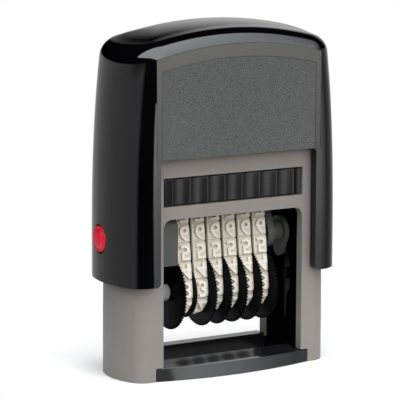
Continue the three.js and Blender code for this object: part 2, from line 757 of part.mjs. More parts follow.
// The run of a belt: over the two edges of the platen and round the drum of its wheel.
// It gives a point and the outward direction for each share of the way round.
function beltRun() {
  const top = pivot.height + platenHeight;
  const { platenSpread: spread, platenRadius, drumRadius } = belt;
  const reach = Math.hypot(spread, top - axleHeight);
  const lean = Math.asin((drumRadius - platenRadius) / reach);
  const slant = Math.atan2(spread, top - axleHeight);
  // Angle of the straight run's outward direction above the level.
  const tilt = lean - slant;
  const middle = belt.band / 2;
  const corner = { u: spread, v: top, radius: platenRadius, from: tilt, to: Math.PI / 2 };
  const drum = { u: 0, v: axleHeight, radius: drumRadius, from: -Math.PI / 2, to: tilt };
  const arc = ({ u, v, radius, from, to }) => ({
    length: (radius + middle) * (to - from),
    at: (t) => ({ u, v, radius, angle: from + (to - from) * t }),
  });
  const line = (a, b, angle) => ({
    length: Math.hypot(b.u - a.u, b.v - a.v),
    at: (t) => ({
      u: a.u + (b.u - a.u) * t, v: a.v + (b.v - a.v) * t, radius: a.radius + (b.radius - a.radius) * t, angle,
    }),
  });
  // Right-hand half from the bottom of the drum to the middle of the platen.
  const half = [
    arc(drum),
    line(drum, corner, tilt),
    arc(corner),
    line(corner, { ...corner, u: 0 }, Math.PI / 2),
  ];
  // Straight runs are as long as the gap between the circles leaves.
  half[1].length = Math.sqrt(reach ** 2 - (drumRadius - platenRadius) ** 2);
  half[3].length = spread;
  const length = half.reduce((sum, piece) => sum + piece.length, 0);
  return (share, offset) => {
    const round = ((share % 1) + 1) % 1;
    const mirrored = round > 0.5;
    let left = (mirrored ? 1 - round : round) * 2 * length;
    let index = 0;
    while (index < half.length - 1 && left > half[index].length) {
      left -= half[index].length;
      index += 1;
    }
    const { u, v, radius, angle } = half[index].at(Math.min(left / half[index].length, 1));
    const reachOut = radius + offset;
    const y = u + reachOut * Math.cos(angle);
    return [mirrored ? -y : y, v + reachOut * Math.sin(angle), length * 2];
  };
}

const runAt = beltRun();
const runLength = runAt(0, 0)[2];

function beltOutline(offset, steps) {
  const points = [];
  for (let i = 0; i < steps; i += 1) points.push(runAt(i / steps, offset).slice(0, 2));
  return points;
}

// A number belt: a smooth band inside, type blocks with narrow gaps outside.
function numberBelt(x) {
  const steps = 3;
  const gapShare = belt.cellGap / runLength / 2;
  const points = [];
  for (let cell = 0; cell < belt.cells; cell += 1) {
    const [from, to] = [(cell - 0.5) / belt.cells + gapShare, (cell + 0.5) / belt.cells - gapShare];
    points.push(runAt(from, belt.band).slice(0, 2));
    for (let j = 0; j <= steps; j += 1) {
      points.push(runAt(from + ((to - from) * j) / steps, beltThickness).slice(0, 2));
    }
    points.push(runAt(to, belt.band).slice(0, 2));
  }
  const shape = polygon(points);
  shape.holes.push(new THREE.Path(beltOutline(0, 2 * belt.cells).map(([u, v]) => new THREE.Vector2(u, v))));
  return prism(shape, 'x', x - belt.width / 2, x + belt.width / 2);
}

// The core inside the belts backs the type while it prints.
function platenCore() {
  const steps = 4 * belt.cells;
  const end = cheekInner - slideGap;
  const low = axleHeight + wheel.radius + core.bottomGap;
  const wide = belt.drumRadius + overrun;
  return cut(
    prism(polygon(beltOutline(-core.fit, steps)), 'x', -end, end),
    block(-end - overrun, end + overrun, -wide, wide, axleHeight - wide, low),
    barX(0, pivot.height, pivot.radius + slideGap, -end - overrun, end + overrun, facets.bore),
    barX(0, pivot.height + tieRod.rise, tieRod.radius + pinFit, -end - overrun, end + overrun, facets.bore),
  );
}

// Setting wheel: a drum inside its belt and a thin toothed disc beside it.
function settingWheel(index) {
  const x = (index - (belt.count - 1) / 2) * beltPitch;
  const discSide = index === 0 ? -1 : 1;
  const near = belt.width / 2 + wheel.sideGap;
  const span = (from, to) => (discSide > 0 ? [x + from, x + to] : [x - to, x - from]);
  const rim = [];
  for (let i = 0; i < wheel.teeth; i += 1) {
    const step = (2 * Math.PI) / wheel.teeth;
    const root = wheel.radius - wheel.toothDepth;
    rim.push(circlePoints(0, axleHeight, wheel.radius, 1, i * step)[0]);
    rim.push(circlePoints(0, axleHeight, root, 1, (i + 0.5) * step)[0]);
  }
  const pieces = [
    prism(polygon(rim), 'x', ...span(near, near + wheel.thickness)),
    barX(
      0, axleHeight, belt.drumRadius - slideGap,
      ...span(wheel.sideGap - near, near + wheel.thickness / 2), facets.drum,
    ),
  ];
  if (index === 0) {
    pieces.push(barX(0, axleHeight, wheel.flangeRadius, ...span(-near - wheel.thickness, -near), facets.drum));
    pieces.push(barX(0, axleHeight, belt.drumRadius - slideGap, ...span(-near - wheel.thickness / 2, 0), facets.drum));
  }
  return cut(
    join(...pieces),
    barX(0, axleHeight, axle.radius + slideGap, x - beltPitch, x + beltPitch, facets.bore),
  );
}

// Assembly.
const numberingStamp = new THREE.Group();
numberingStamp.name = 'numbering_machine';

function add(name, solid, material) {
  const mesh = new THREE.Mesh(toGeometry(solid), material);
  mesh.name = name;
  numberingStamp.add(mesh);
}

const sides = [['left', -1], ['right', 1]];
const faces = [['front', -1], ['rear', 1]];

add('base_housing', baseHousing(), finishes.baseGrey);
add('foot_frame', footFrame(), finishes.footBlack);
sides.forEach(([name, side]) => add(`${name}_guide_plate`, guidePlate(side), finishes.innerBlack));
add('return_spring', returnSpring(), finishes.steel);
add('ink_cartridge', inkCartridge(), finishes.footBlack);
add('ink_pad', inkPad(), finishes.felt);
add('cap_shell', capShell(), finishes.capBlack);
faces.forEach(([name, side]) => {
  add(`${name}_label_frame`, labelFrame(side), finishes.rimGrey);
  add(`${name}_label_panel`, labelPanel(side), finishes.labelGrey);
});
sides.forEach(([name, side]) => add(`${name}_lock_button`, lockButton(side), finishes.red));
add('carrier_bow', carrierBow(), finishes.innerBlack);
add('pivot_shaft', pivotShaft(), finishes.steel);
sides.forEach(([name, side]) => add(`${name}_cheek`, blockCheek(side), finishes.innerBlack));
add('platen_core', platenCore(), finishes.coreGrey);
add('wheel_axle', wheelAxle(), finishes.steel);
add('tie_rod', tieBar(), finishes.steel);
for (let i = 0; i < belt.count; i += 1) {
  const x = (i - (belt.count - 1) / 2) * beltPitch;
  add(`number_belt_${i + 1}`, numberBelt(x), finishes.ivory);
  add(`setting_wheel_${i + 1}`, settingWheel(i), finishes.wheelBlack);
}

console.log(`stroke of the cap ${stroke.toFixed(2)} mm, cartridge comes out by ${removal} mm`);
console.log(`half turn of the block per stroke: ${(Math.PI / (stroke / 1000)).toFixed(4)} rad per metre`);

export default numberingStamp;
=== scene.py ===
# %% [markdown]
# # A numbering stamp
# This lesson dresses a self-inking numbering stamp. Its solid model already stands in the scene as a fixed
# frame. Each part of the lesson gives one of those solids its finish or models a finer piece over it.

# %% The frame and the tools
import math

import bmesh
import bpy
from mathutils import Matrix, Vector


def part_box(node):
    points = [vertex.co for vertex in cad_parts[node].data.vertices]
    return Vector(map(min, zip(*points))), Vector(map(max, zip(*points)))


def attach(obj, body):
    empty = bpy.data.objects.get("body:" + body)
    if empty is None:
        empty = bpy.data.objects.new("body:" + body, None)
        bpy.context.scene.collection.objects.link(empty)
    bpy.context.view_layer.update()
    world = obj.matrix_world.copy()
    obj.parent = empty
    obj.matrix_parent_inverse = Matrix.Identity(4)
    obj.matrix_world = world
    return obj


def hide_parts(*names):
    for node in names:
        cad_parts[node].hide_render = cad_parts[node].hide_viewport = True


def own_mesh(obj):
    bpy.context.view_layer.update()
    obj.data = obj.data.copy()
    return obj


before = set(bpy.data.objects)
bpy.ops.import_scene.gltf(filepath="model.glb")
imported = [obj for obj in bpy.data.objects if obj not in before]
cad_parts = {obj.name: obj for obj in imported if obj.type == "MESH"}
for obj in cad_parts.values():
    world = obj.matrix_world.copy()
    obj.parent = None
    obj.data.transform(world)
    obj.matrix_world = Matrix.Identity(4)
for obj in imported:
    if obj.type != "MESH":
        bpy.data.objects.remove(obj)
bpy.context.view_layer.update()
MM = 0.001
UPRIGHT = math.pi / 2
print("solids in the frame:", len(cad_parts))

# %% [markdown]
# ## The camera
# The stamp was photographed from the front left and a little from above, through a long lens that keeps its
# upright edges nearly parallel. Three directions place a camera: where it looks, its right and its up.

# %% Camera
HEADING, PITCH, ROLL = math.radians(30), math.radians(9.958), math.radians(0.194)
CAMERA_RIGHT, CAMERA_UP, CAMERA_BACK = -2.62, 33.0, 475.5
look = Vector((math.sin(HEADING) * math.cos(PITCH), math.cos(HEADING) * math.cos(PITCH), -math.sin(PITCH)))
level_right = Vector((math.cos(HEADING), -math.sin(HEADING), 0))
level_up = level_right.cross(look)
right = level_right * math.cos(ROLL) + level_up * math.sin(ROLL)
up = level_up * math.cos(ROLL) - level_right * math.sin(ROLL)

bpy.ops.object.camera_add()
camera = bpy.context.object
camera.name = "camera"
camera.data.lens = 211.5
camera.data.sensor_width = 36
camera.data.clip_start = 0.01
camera.data.clip_end = 10
place = Matrix((right, up, -look)).transposed().to_4x4()
place.translation = (right * CAMERA_RIGHT + up * CAMERA_UP - look * CAMERA_BACK) * MM
camera.matrix_world = place
bpy.context.scene.camera = camera
bpy.context.scene.view_settings.view_transform = "Standard"
print("camera at", [round(v, 3) for v in place.translation])

# %% [markdown]
# ## The studio
# Gloss black plastic has almost no colour of its own: what the eye sees is the studio in it. A photograph of
# a studio could be wrapped round the scene, but a drawn one can be tuned line by line. So the world is a
# dark room made of ramps. Each ramp reads how far a direction points along some axis, and where two ramps
# are multiplied, a lit wall or a softbox stands.


# %% Helpers for node trees
def add_node(tree, kind, **values):
    """A new node with its settings."""
    node = tree.nodes.new(kind)
    for name, value in values.items():
        setattr(node, name, value)
    return node


def fill(tree, socket, value):
    """Links an output to a socket, or writes a plain value on it."""
    if isinstance(value, bpy.types.NodeSocket):
        tree.links.new(value, socket)
    else:
        socket.default_value = value


def vector_step(tree, operation, *values, result="Vector"):
    """One step of arithmetic on vectors."""
    node = add_node(tree, "ShaderNodeVectorMath", operation=operation)
    for socket, value in zip(node.inputs, values):
        fill(tree, socket, value)
    return node.outputs[result]


def map_range(tree, value, from_range=(0, 1), to_range=(0, 1), **settings):
    """A value carried from one range to another, and held inside it."""
    node = add_node(tree, "ShaderNodeMapRange", **settings)
    names = ("From Min", "From Max", "To Min", "To Max")
    for name, end in zip(names, (*from_range, *to_range)):
        node.inputs[name].default_value = end
    fill(tree, node.inputs["Value"], value)
    return node.outputs["Result"]


def filled(tree, kind, **values):
    """The first output of a node with its inputs filled. An underscore in a name stands for a space."""
    node = add_node(tree, kind)
    for name, value in values.items():
        fill(tree, node.inputs[name.replace("_", " ")], value)
    return node.outputs[0]


print("nodes can be added, filled and linked")

# %% Directions in the world
world = bpy.data.worlds.new("studio")
bpy.context.scene.world = world
world.use_nodes = True
room = world.node_tree
room.nodes.clear()
direction = add_node(room, "ShaderNodeTexCoord").outputs["Generated"]


def part_along(axis):
    """How far a direction points along an axis: 0.5 is square to it, and 1 is the most."""
    product = vector_step(room, "DOT_PRODUCT", direction, axis, result="Value")
    return map_range(room, product, from_range=(-1, 1))


across = part_along((1, 0, 0))
above = part_along((0, 0, 1))
# Round about the stamp the count starts behind the camera, so that the ramp's seam lies there.
turned = filled(room, "ShaderNodeMapping", Rotation=(0, 0, math.radians(-60)), Vector=direction)
radial = add_node(room, "ShaderNodeTexGradient", gradient_type="RADIAL")
fill(room, radial.inputs["Vector"], turned)
round_about = radial.outputs["Fac"]
print("the world has", len(room.nodes), "nodes for its directions")

# %% [markdown]
# The room is bright behind the stamp and dim beside it, and it ends a little above the stamp's own level.
# The cap's sides mirror those walls as upright stripes. Above the level only a low wall behind the stamp is
# lit, which the cap's top mirrors.


# %% Walls of the room
def ramp(tree, source, stops):
    """A colour ramp. A stop's colour is three shares, or one share for a grey."""
    node = add_node(tree, "ShaderNodeValToRGB")
    elements = node.color_ramp.elements
    while len(elements) < len(stops):
        elements.new(0.5)
    for element, (position, colour) in zip(elements, stops):
        element.position = position
        element.color = (*colour, 1) if isinstance(colour, tuple) else (colour, colour, colour, 1)
    fill(tree, node.inputs["Fac"], source)
    return node.outputs["Color"]


def mix(tree, blend_type, first, second, factor=1):
    """Two colours mixed, multiplied or added."""
    node = add_node(tree, "ShaderNodeMix", data_type="RGBA", blend_type=blend_type)
    for name, value in (("Factor", factor), ("A", first), ("B", second)):
        fill(tree, node.inputs[name], value)
    return node.outputs["Result"]


horizon = ramp(room, round_about, [
    (0.12, 0.0),
    (0.18, (0.16, 0.17, 0.18)),
    (0.32, (0.4, 0.4, 0.42)),
    (0.46, (0.95, 0.95, 0.94)),
    (0.53, (0.95, 0.95, 0.94)),
    (0.57, 0.55),
    (0.64, (0.49, 0.49, 0.50)),
    (0.92, (0.64, 0.64, 0.66)),
    (0.955, 0.0),
])
height = ramp(room, above, [(0.0, 0.4), (0.40, 0.95), (0.515, 1.0), (0.535, 0.0)])
walls = mix(room, "MULTIPLY", horizon, height)
wall_across = ramp(room, round_about, [(0.36, 0), (0.44, 1), (0.50, 1), (0.522, 0.45), (0.55, 0)])
wall_up = ramp(room, above, [
    (0.5, 0), (0.53, 0.6), (0.63, 1), (0.725, 1), (0.77, 0.7), (0.805, 0.25), (0.818, 0),
])
low_wall = mix(room, "MULTIPLY", wall_across, wall_up)
all_walls = mix(room, "ADD", walls, low_wall)
print("the walls are made of four ramps")

# %% [markdown]
# A tall softbox stands in front on the right. It leans to the left as it rises, is brightest there, ends
# towards the back and fades downwards, warm below and bluish above. An area lamp would have one flat
# brightness, and the photo's label and cap show how it changes.

# %% The softbox
box_left = ramp(room, part_along((1, 0, 1.78)), [(0.49, 0), (0.515, 1)])
box_across = ramp(room, across, [(0.64, 1), (0.745, 0.77), (0.855, 0.28), (0.95, 0)])
box_back = ramp(room, part_along((0.35, 1, 0)), [(0.415, 1), (0.45, 0)])
box_up = ramp(room, above, [
    (0.37, 0.05),
    (0.39, (0.22, 0.23, 0.23)),
    (0.405, 0.30),
    (0.417, (0.48, 0.48, 0.47)),
    (0.439, (0.66, 0.65, 0.61)),
    (0.452, (0.80, 0.79, 0.72)),
    (0.5, (0.86, 0.86, 0.80)),
    (0.58, (0.92, 0.96, 1.0)),
])
corner = mix(room, "MULTIPLY", box_left, box_across)
sides = mix(room, "MULTIPLY", corner, box_back)
panel_light = mix(room, "MULTIPLY", sides, box_up)
print("the softbox is made of four ramps")

# %% [markdown]
# The photo's background is plain white, and a white room would wash out the gloss. So the light path node
# tells what kind of ray looks. The camera sees white. Gloss sees the dark room with the softbox at full
# strength, and white only where the bright wall stands. Matt surfaces get a softer share of the softbox.


# %% What each kind of ray sees
def calculate(tree, operation, *values):
    """One step of arithmetic on outputs or plain numbers."""
    node = add_node(tree, "ShaderNodeMath", operation=operation)
    for socket, value in zip(node.inputs, values):
        fill(tree, socket, value)
    return node.outputs["Value"]


def join_shaders(tree, kind, first, second, factor=None):
    """Two shaders added, or blended by a factor."""
    node = add_node(tree, kind)
    if factor is not None:
        fill(tree, node.inputs["Fac"], factor)
    for socket, shader in zip(list(node.inputs)[-2:], (first, second)):
        tree.links.new(shader, socket)
    return node.outputs["Shader"]


GLOSS_STRENGTH, MATT_STRENGTH, BRIGHT_WALL = 6, 0.44, 0.8
rays = add_node(room, "ShaderNodeLightPath").outputs
strength = map_range(room, rays["Is Diffuse Ray"], to_range=(GLOSS_STRENGTH, MATT_STRENGTH))
softbox_light = filled(room, "ShaderNodeBackground", Color=panel_light, Strength=strength)
wall_light = filled(room, "ShaderNodeBackground", Color=all_walls, Strength=1)
white_light = filled(room, "ShaderNodeBackground", Color=(1, 1, 1, 1), Strength=1)
glassy = calculate(room, "MAXIMUM", rays["Is Glossy Ray"], rays["Is Transmission Ray"])
seen_wall = calculate(room, "MULTIPLY", glassy, calculate(room, "GREATER_THAN", walls, BRIGHT_WALL))
sees_white = calculate(room, "MAXIMUM", rays["Is Camera Ray"], seen_wall)
studio = join_shaders(room, "ShaderNodeAddShader", wall_light, softbox_light)
everything = join_shaders(room, "ShaderNodeMixShader", studio, white_light, factor=sees_white)
room.links.new(everything, add_node(room, "ShaderNodeOutputWorld").inputs["Surface"])
print("the world has", len(room.nodes), "nodes")

# %% [markdown]
# Three soft lamps fill the shadows: one overhead, one in front and one on the left. They are kept out of the
# gloss, so that only the drawn studio shines in the cap.


# %% Lamps
def fill_lamp(name, toward, distance, size, power, colour):
    """A soft rectangle that looks at the stamp from a direction."""
    bpy.ops.object.light_add(type="AREA", location=Vector(toward).normalized() * distance)
    lamp = bpy.context.object
    lamp.name = name
    lamp.data.shape = "RECTANGLE"
    lamp.data.size, lamp.data.size_y = size
    lamp.data.energy = power
    lamp.data.color = colour
    lamp.visible_glossy = False
    lamp.rotation_euler = lamp.location.to_track_quat("Z", "Y").to_euler()
    print(name, power, "W")


fill_lamp("overhead_fill", toward=(0.2, -0.1, 0.95), distance=0.5, size=(0.4, 0.3), power=0.56,
          colour=(0.97, 0.98, 1.0))
fill_lamp("front_fill", toward=(0.05, -0.9, 0.45), distance=0.6, size=(0.3, 0.2), power=0.72,
          colour=(1.0, 0.86, 0.85))
fill_lamp("left_fill", toward=(-0.9, -0.15, 0.5), distance=0.6, size=(0.25, 0.2), power=0.04,
          colour=(0.94, 1.0, 0.93))

# %% [markdown]
# The floor is a disc of white card. Near the stamp it is a matt surface that catches the shadow, and a
# painted contact shadow makes it a little darker where the stamp touches it. Towards its rim it turns into
# plain white, so that no edge shows against the white room. Matt light from the lamps always falls on the
# card itself.

# %% Floor
FLOOR_RADIUS, FLOOR_DROP = 0.072, 0.00005
FOOTPRINT = (0.02, 0.006, 0)
bpy.ops.mesh.primitive_circle_add(vertices=96, radius=FLOOR_RADIUS, fill_type="NGON",
                                  location=(0, 0, -FLOOR_DROP))
floor = bpy.context.object
floor.name = "white_floor"
bpy.ops.object.transform_apply(location=True)
card = bpy.data.materials.new("white_card")
card.use_nodes = True
tree = card.node_tree
tree.nodes.clear()
point = add_node(tree, "ShaderNodeTexCoord").outputs["Object"]
# How far a point lies outside the stamp's own footprint.
beyond = vector_step(tree, "SUBTRACT", vector_step(tree, "ABSOLUTE", point), FOOTPRINT)
outside = vector_step(tree, "MAXIMUM", beyond, (0, 0, 0))
distance = vector_step(tree, "LENGTH", outside, result="Value")
smooth = {"interpolation_type": "SMOOTHSTEP"}
fade = map_range(tree, distance, from_range=(0, 0.026), to_range=(0.2, 1), **smooth)
# Painted contact shadow: the card's matt colour is darker close to the stamp's footprint.
painted_contact_shadow = map_range(tree, distance, from_range=(0.0035, 0.0105), to_range=(0.74, 0.93), **smooth)
rays = add_node(tree, "ShaderNodeLightPath").outputs
sharp = calculate(tree, "MAXIMUM", rays["Is Glossy Ray"], rays["Is Transmission Ray"])
straight = calculate(tree, "MAXIMUM", rays["Is Camera Ray"], sharp)
matt = filled(tree, "ShaderNodeBsdfDiffuse", Color=painted_contact_shadow)
plain = filled(tree, "ShaderNodeEmission")
finished = join_shaders(tree, "ShaderNodeMixShader", matt, plain,
                        factor=calculate(tree, "MULTIPLY", straight, fade))
tree.links.new(finished, add_node(tree, "ShaderNodeOutputMaterial").inputs["Surface"])
floor.data.materials.append(card)
print("floor", round(floor.dimensions.x, 2), "m across")

# %% [markdown]
# ## The finishes
# Moulded plastic is never one flat colour. Each finish starts from a slow drift between two close shades, a
# fine grain that breaks up the gloss, and a slight bump, all placed by the object's own coordinates. Picture
# textures would need unwrapping, and their grain would stretch over the curves.


# %% One recipe for the moulded finishes
def srgb(levels):
    """A colour as an eyedropper reads it, 0 to 255, made linear."""
    shares = [level / 255 for level in levels]
    return tuple(s / 12.92 if s <= 0.04045 else ((s + 0.055) / 1.055) ** 2.4 for s in shares)


def moulded(name, dark, light, rough, grain=900, bump=0.02, level=0.5, metal=0.0, speckle=None):
    """A finish between two shades, 0 to 255, and two roughnesses. The bump is in millimetres."""
    material = bpy.data.materials.new(name)
    material.use_nodes = True
    tree = material.node_tree
    tree.nodes.clear()
    where = add_node(tree, "ShaderNodeTexCoord").outputs["Object"]
    fine = filled(tree, "ShaderNodeTexNoise", Vector=where, Scale=grain, Detail=3)
    slow = filled(tree, "ShaderNodeTexNoise", Vector=where, Scale=55, Detail=2)
    colour = ramp(tree, slow, [(0.3, srgb(dark)), (0.7, srgb(light))])
    if speckle:
        spots = ramp(tree, fine, [(0.35, 0), (0.65, 1)])
        colour = mix(tree, "MIX", colour, (*srgb(speckle), 1), factor=spots)
    relief = filled(tree, "ShaderNodeBump", Strength=0.6, Distance=bump * MM, Height=fine)
    shader = filled(tree, "ShaderNodeBsdfPrincipled", Base_Color=colour, Metallic=metal, Normal=relief,
                    Roughness=map_range(tree, fine, to_range=rough), Specular_IOR_Level=level)
    tree.links.new(shader, add_node(tree, "ShaderNodeOutputMaterial").inputs["Surface"])
    return material


print("half of 255 is", round(srgb([127.5])[0], 3), "made linear")

# %% [markdown]
# Each finish has two close shades, written as an eyedropper reads them, and two roughnesses. Rubber, steel
# and felt could have recipes of their own. At this size the eye sees little more of them than shade and
# gloss, so they share this one.

# %% The finishes by slot
finishes = {
    "cap_black": moulded("gloss_black_cap", (1, 1, 2), (3, 3, 4), (0.03, 0.07), bump=0.001),
    "base_grey": moulded("warm_grey_base", (103, 98, 93), (109, 103, 98), (0.42, 0.55), bump=0.012,
                         level=0.35),
    "foot_black": moulded("black_foot", (9, 9, 10), (14, 14, 15), (0.1, 0.17), bump=0.003, level=0.27),
    "inner_black": moulded("satin_black_inside", (1, 1, 2), (3, 3, 4), (0.24, 0.34), bump=0.008,
                           level=0.0),
    "arm_grey": moulded("satin_grey_arms", (52, 53, 50), (58, 59, 56), (0.4, 0.5), bump=0.006, level=0.2),
    "label_grey": moulded("speckled_label", (46, 47, 46), (52, 52, 51), (0.5, 0.6), grain=4200, level=0.2,
                          speckle=(80, 81, 79)),
    "rim_grey": moulded("satin_grey_rim", (118, 116, 106), (126, 123, 114), (0.35, 0.45), bump=0.01),
    "button_red": moulded("red_button", (180, 10, 36), (196, 14, 44), (0.35, 0.45), bump=0.006, level=0.3),
    # The band's shades are a little darker than the digits': painted shade between the raised digits.
    "belt_ivory": moulded("ivory_rubber_painted_shade", (180, 173, 157), (194, 187, 171), (0.55, 0.7), level=0.25),
    "belt_digit": moulded("ivory_digits", (194, 188, 176), (206, 200, 188), (0.5, 0.62), level=0.3),
    "wheel_black": moulded("black_wheel", (1, 1, 3), (4, 4, 6), (0.24, 0.34), bump=0.006, level=0.03),
    "steel": moulded("bright_steel", (190, 190, 192), (208, 208, 210), (0.22, 0.34), metal=1.0),
    "axle_grey": moulded("light_grey_axle", (126, 127, 129), (138, 139, 141), (0.35, 0.45), bump=0.006),
    "core_grey": moulded("dark_core", (18, 18, 17), (26, 26, 25), (0.4, 0.5), bump=0.01, level=0.1),
    "felt": moulded("inked_felt", (26, 25, 34), (40, 38, 48), (0.85, 0.95), grain=2600, bump=0.12),
}
print("finishes:", ", ".join(finishes))

# %% [markdown]
# Guide plates, ink pad, carrier bow, pivot shaft, platen core and tie rod are plain plates, blocks and bars
# inside the stamp. Finer edges on them would hardly be seen, so these solids stay. Every solid of the frame
# gets the finish of its slot.

# %% Finishes on the solids that stay as they are
for name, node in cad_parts.items():
    slot = node.data.materials[0].name.split(".")[0]
    node.data.materials[0] = finishes[slot]
    print(name, "gets", slot)

# %% [markdown]
# ## How the pieces are made
# Most pieces of the stamp are mouldings: an outline seen from one side, given thickness. The outline starts
# as a circle of points, is laid on the wanted curve, and is extruded level by level. Openings are cut out
# with Booleans, which is quicker than weaving them into the mesh by hand, and a narrow bevel then rounds
# every edge, because no moulded edge is truly sharp. Sizes are in millimetres until the mesh is made.


# %% Helpers for raising a mesh
def only(piece):
    """Makes one object the selected and active one."""
    bpy.ops.object.select_all(action="DESELECT")
    piece.select_set(True)
    bpy.context.view_layer.objects.active = piece


def lay(piece, ring):
    """Lays the corners of the selected face on the points of a ring, in millimetres."""
    mesh = bmesh.from_edit_mesh(piece.data)
    face = next(f for f in mesh.faces if f.select)
    for corner, point in zip(face.loops, ring):
        corner.vert.co = Vector(point) * MM
    bmesh.update_edit_mesh(piece.data)


def close_up(threshold=0):
    """The end of an edit: points as close as the threshold are merged, and all faces look outwards."""
    bpy.ops.mesh.select_all(action="SELECT")
    if threshold:
        bpy.ops.mesh.remove_doubles(threshold=threshold)
    bpy.ops.mesh.normals_make_consistent(inside=False)
    bpy.ops.object.mode_set(mode="OBJECT")


def raise_rings(name, rings, ridge=False):
    """A circle laid on the first ring and extruded once for each further ring. A ridge needs no top face."""
    bpy.ops.object.select_all(action="DESELECT")
    bpy.ops.mesh.primitive_circle_add(vertices=len(rings[0]), radius=MM, fill_type="NGON")
    piece = bpy.context.object
    piece.name = piece.data.name = name
    bpy.ops.object.mode_set(mode="EDIT")
    bpy.ops.mesh.select_all(action="SELECT")
    lay(piece, rings[0])
    for ring in rings[1:]:
        bpy.ops.mesh.extrude_region_move()
        lay(piece, ring)
    if ridge:
        bpy.ops.mesh.delete(type="ONLY_FACE")
    close_up(0.0005 * MM)
    return piece


def slab(name, outline, axis, near, far):
    """An outline given thickness along x, y or z."""
    def at(u, v, depth):
        return {"x": (depth, u, v), "y": (u, depth, v), "z": (u, v, depth)}[axis]
    return raise_rings(name, [[at(u, v, d) for u, v in outline] for d in (near, far)])


def box(name, x, y, z):
    """A block between the two ends that each axis is given."""
    return slab(name, [(x[0], y[0]), (x[1], y[0]), (x[1], y[1]), (x[0], y[1])], "z", *z)


def both_ways(half):
    return (-half, half)


def sided(sign, near, far):
    """Two distances from the middle as ends along x: on the left for -1, on the right for 1."""
    return sorted((sign * near, sign * far))


SIDES = (("left", -1), ("right", 1))
print("a mesh can now be raised from rings")


# %% Helpers for curves and edges
def arc(u, v, radius, start, sweep, steps):
    angles = [start + sweep * i / steps for i in range(steps + 1)]
    return [(u + radius * math.cos(a), v + radius * math.sin(a)) for a in angles]


def circle(u, v, radius, steps):
    return arc(u, v, radius, 0, 2 * math.pi, steps)[:-1]


def pin(name, z, radius, ends, steps, y=0):
    """A round bar along x."""
    return slab(name, circle(y, z, radius, steps), "x", *ends)


def modify(piece, kind, **settings):
    """Adds a modifier with its settings to the active piece, and applies it."""
    modifier = piece.modifiers.new("modify", kind)
    for name, value in settings.items():
        setattr(modifier, name, value)
    bpy.ops.object.modifier_apply(modifier=modifier.name)


def combine(piece, others, operation="DIFFERENCE"):
    """Cuts the others out of the piece, or melts them into it."""
    only(piece)
    for other in others:
        modify(piece, "BOOLEAN", object=other, operation=operation, solver="EXACT")
        bpy.data.objects.remove(other)
    return piece


def soften(piece, width, angle=40, even=True):
    """Rounds edges sharper than the angle. The faces beside them stay as flat or round as they were."""
    only(piece)
    bpy.ops.object.shade_smooth_by_angle(angle=math.radians(angle))
    if width:
        modify(piece, "BEVEL", width=width * MM, segments=2, limit_method="ANGLE",
               angle_limit=math.radians(angle), use_clamp_overlap=True, miter_outer="MITER_ARC",
               harden_normals=not even)
    if even:
        bpy.ops.object.shade_smooth_by_angle(angle=math.radians(angle))
        modify(piece, "WEIGHTED_NORMAL", keep_sharp=True)
    return piece


def finish(piece, slot, body, *nodes, material=None):
    """Gives a piece its finish, its body and the solids it stands for."""
    piece.data.materials.clear()
    piece.data.materials.append(material or finishes[slot])
    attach(piece, body)
    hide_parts(*nodes)
    print(piece.name, len(piece.data.polygons), "faces")


print("helpers for outlines, Booleans, bevels and finishes")

# %% [markdown]
# ## The two casings
# The cap and the base share one idea. Seen from above both are long ovals with nearly flat fronts, bulging
# short sides and round corners. Going up they narrow a little, and the top is an arch that falls away to
# both sides. So one rule gives the outline and one gives the levels.


# %% The rule for a casing
ARCH_RADIUS = 72


def arch_fall(x):
    return x * x / (2 * ARCH_RADIUS)


def half_plan(plan, inset, steps=(6, 10, 22)):
    """The rear half of a casing's plan, from its right end to its left end."""
    width, depth, corner, side_radius = plan
    round_off = max(corner - inset, corner / 10)
    side = side_radius - inset
    half_depth = depth / 2 - inset
    turn = math.asin((half_depth - round_off) / (side - round_off))
    centre = width / 2 - side_radius
    corner_x = centre + (side - round_off) * math.cos(turn)
    quarter = arc(centre, 0, side, 0, turn, steps[0])[:-1]
    quarter += arc(corner_x, half_depth - round_off, round_off, turn, UPRIGHT - turn, steps[1])
    quarter += [(corner_x * (1 - i / steps[2]), half_depth) for i in range(1, steps[2])]
    return quarter + [(0, half_depth)] + [(-x, y) for x, y in reversed(quarter)]


def casing(name, plan, bottom, top, shoulder, crown, taper, levels=20, rounding=8, dome=6):
    """A plan raised to an arched top. The shoulder rounds its upper edge, and the crown swells its top."""
    width, depth, corner, side_radius = plan
    low_level = 0.014

    def ring(narrowing, inset, height, flat=False):
        outline = half_plan((width - 2 * narrowing, depth, corner, side_radius), inset)
        rear = [(x, 0 if flat else y, height(x)) for x, y in outline]
        return rear + [(x, -y, z) for x, y, z in reversed(rear[1:-1])]

    springing = top - crown - shoulder
    rings = []
    # One low ring close to the edge keeps the edge's rounding off the long sides.
    for share in [0, low_level] + [math.sqrt(i / levels) for i in range(1, levels)]:
        rings.append(ring(taper * share ** 3, 0,
                          lambda x: bottom + (springing - arch_fall(x) - bottom) * share))
    for i in range(rounding + 1):
        a = UPRIGHT * i / rounding
        rings.append(ring(taper, shoulder * (1 - math.cos(a)),
                          lambda x: springing + shoulder * math.sin(a) - arch_fall(x)))
    for i in range(1, dome + 1):
        share = i / dome
        rings.append(ring(taper, shoulder + (depth / 2 - shoulder) * share,
                          lambda x: top - crown * (1 - share) ** 2 - arch_fall(x), flat=i == dome))
    return raise_rings(name, rings, ridge=True)


def arched(half_width, bottom, top, steps=40):
    """An upright plate's outline whose top follows the arch."""
    across = [half_width * (1 - 2 * i / steps) for i in range(steps + 1)]
    return [(-half_width, bottom), (half_width, bottom)] + [(x, top - arch_fall(x)) for x in across]


print("the arch falls", round(arch_fall(25), 2), "mm at the ends of the cap")

# %% [markdown]
# ## The cap
# The black cap is the part the hand presses. It is a thin shell round the base, with a wide opening in front
# and behind that leaves two legs, a shallow recess for the label above, and a hole for the lock button in
# each side. It could be box-modelled, but then the long curves would show facets in the gloss. Many levels
# laid by one rule keep them clean.

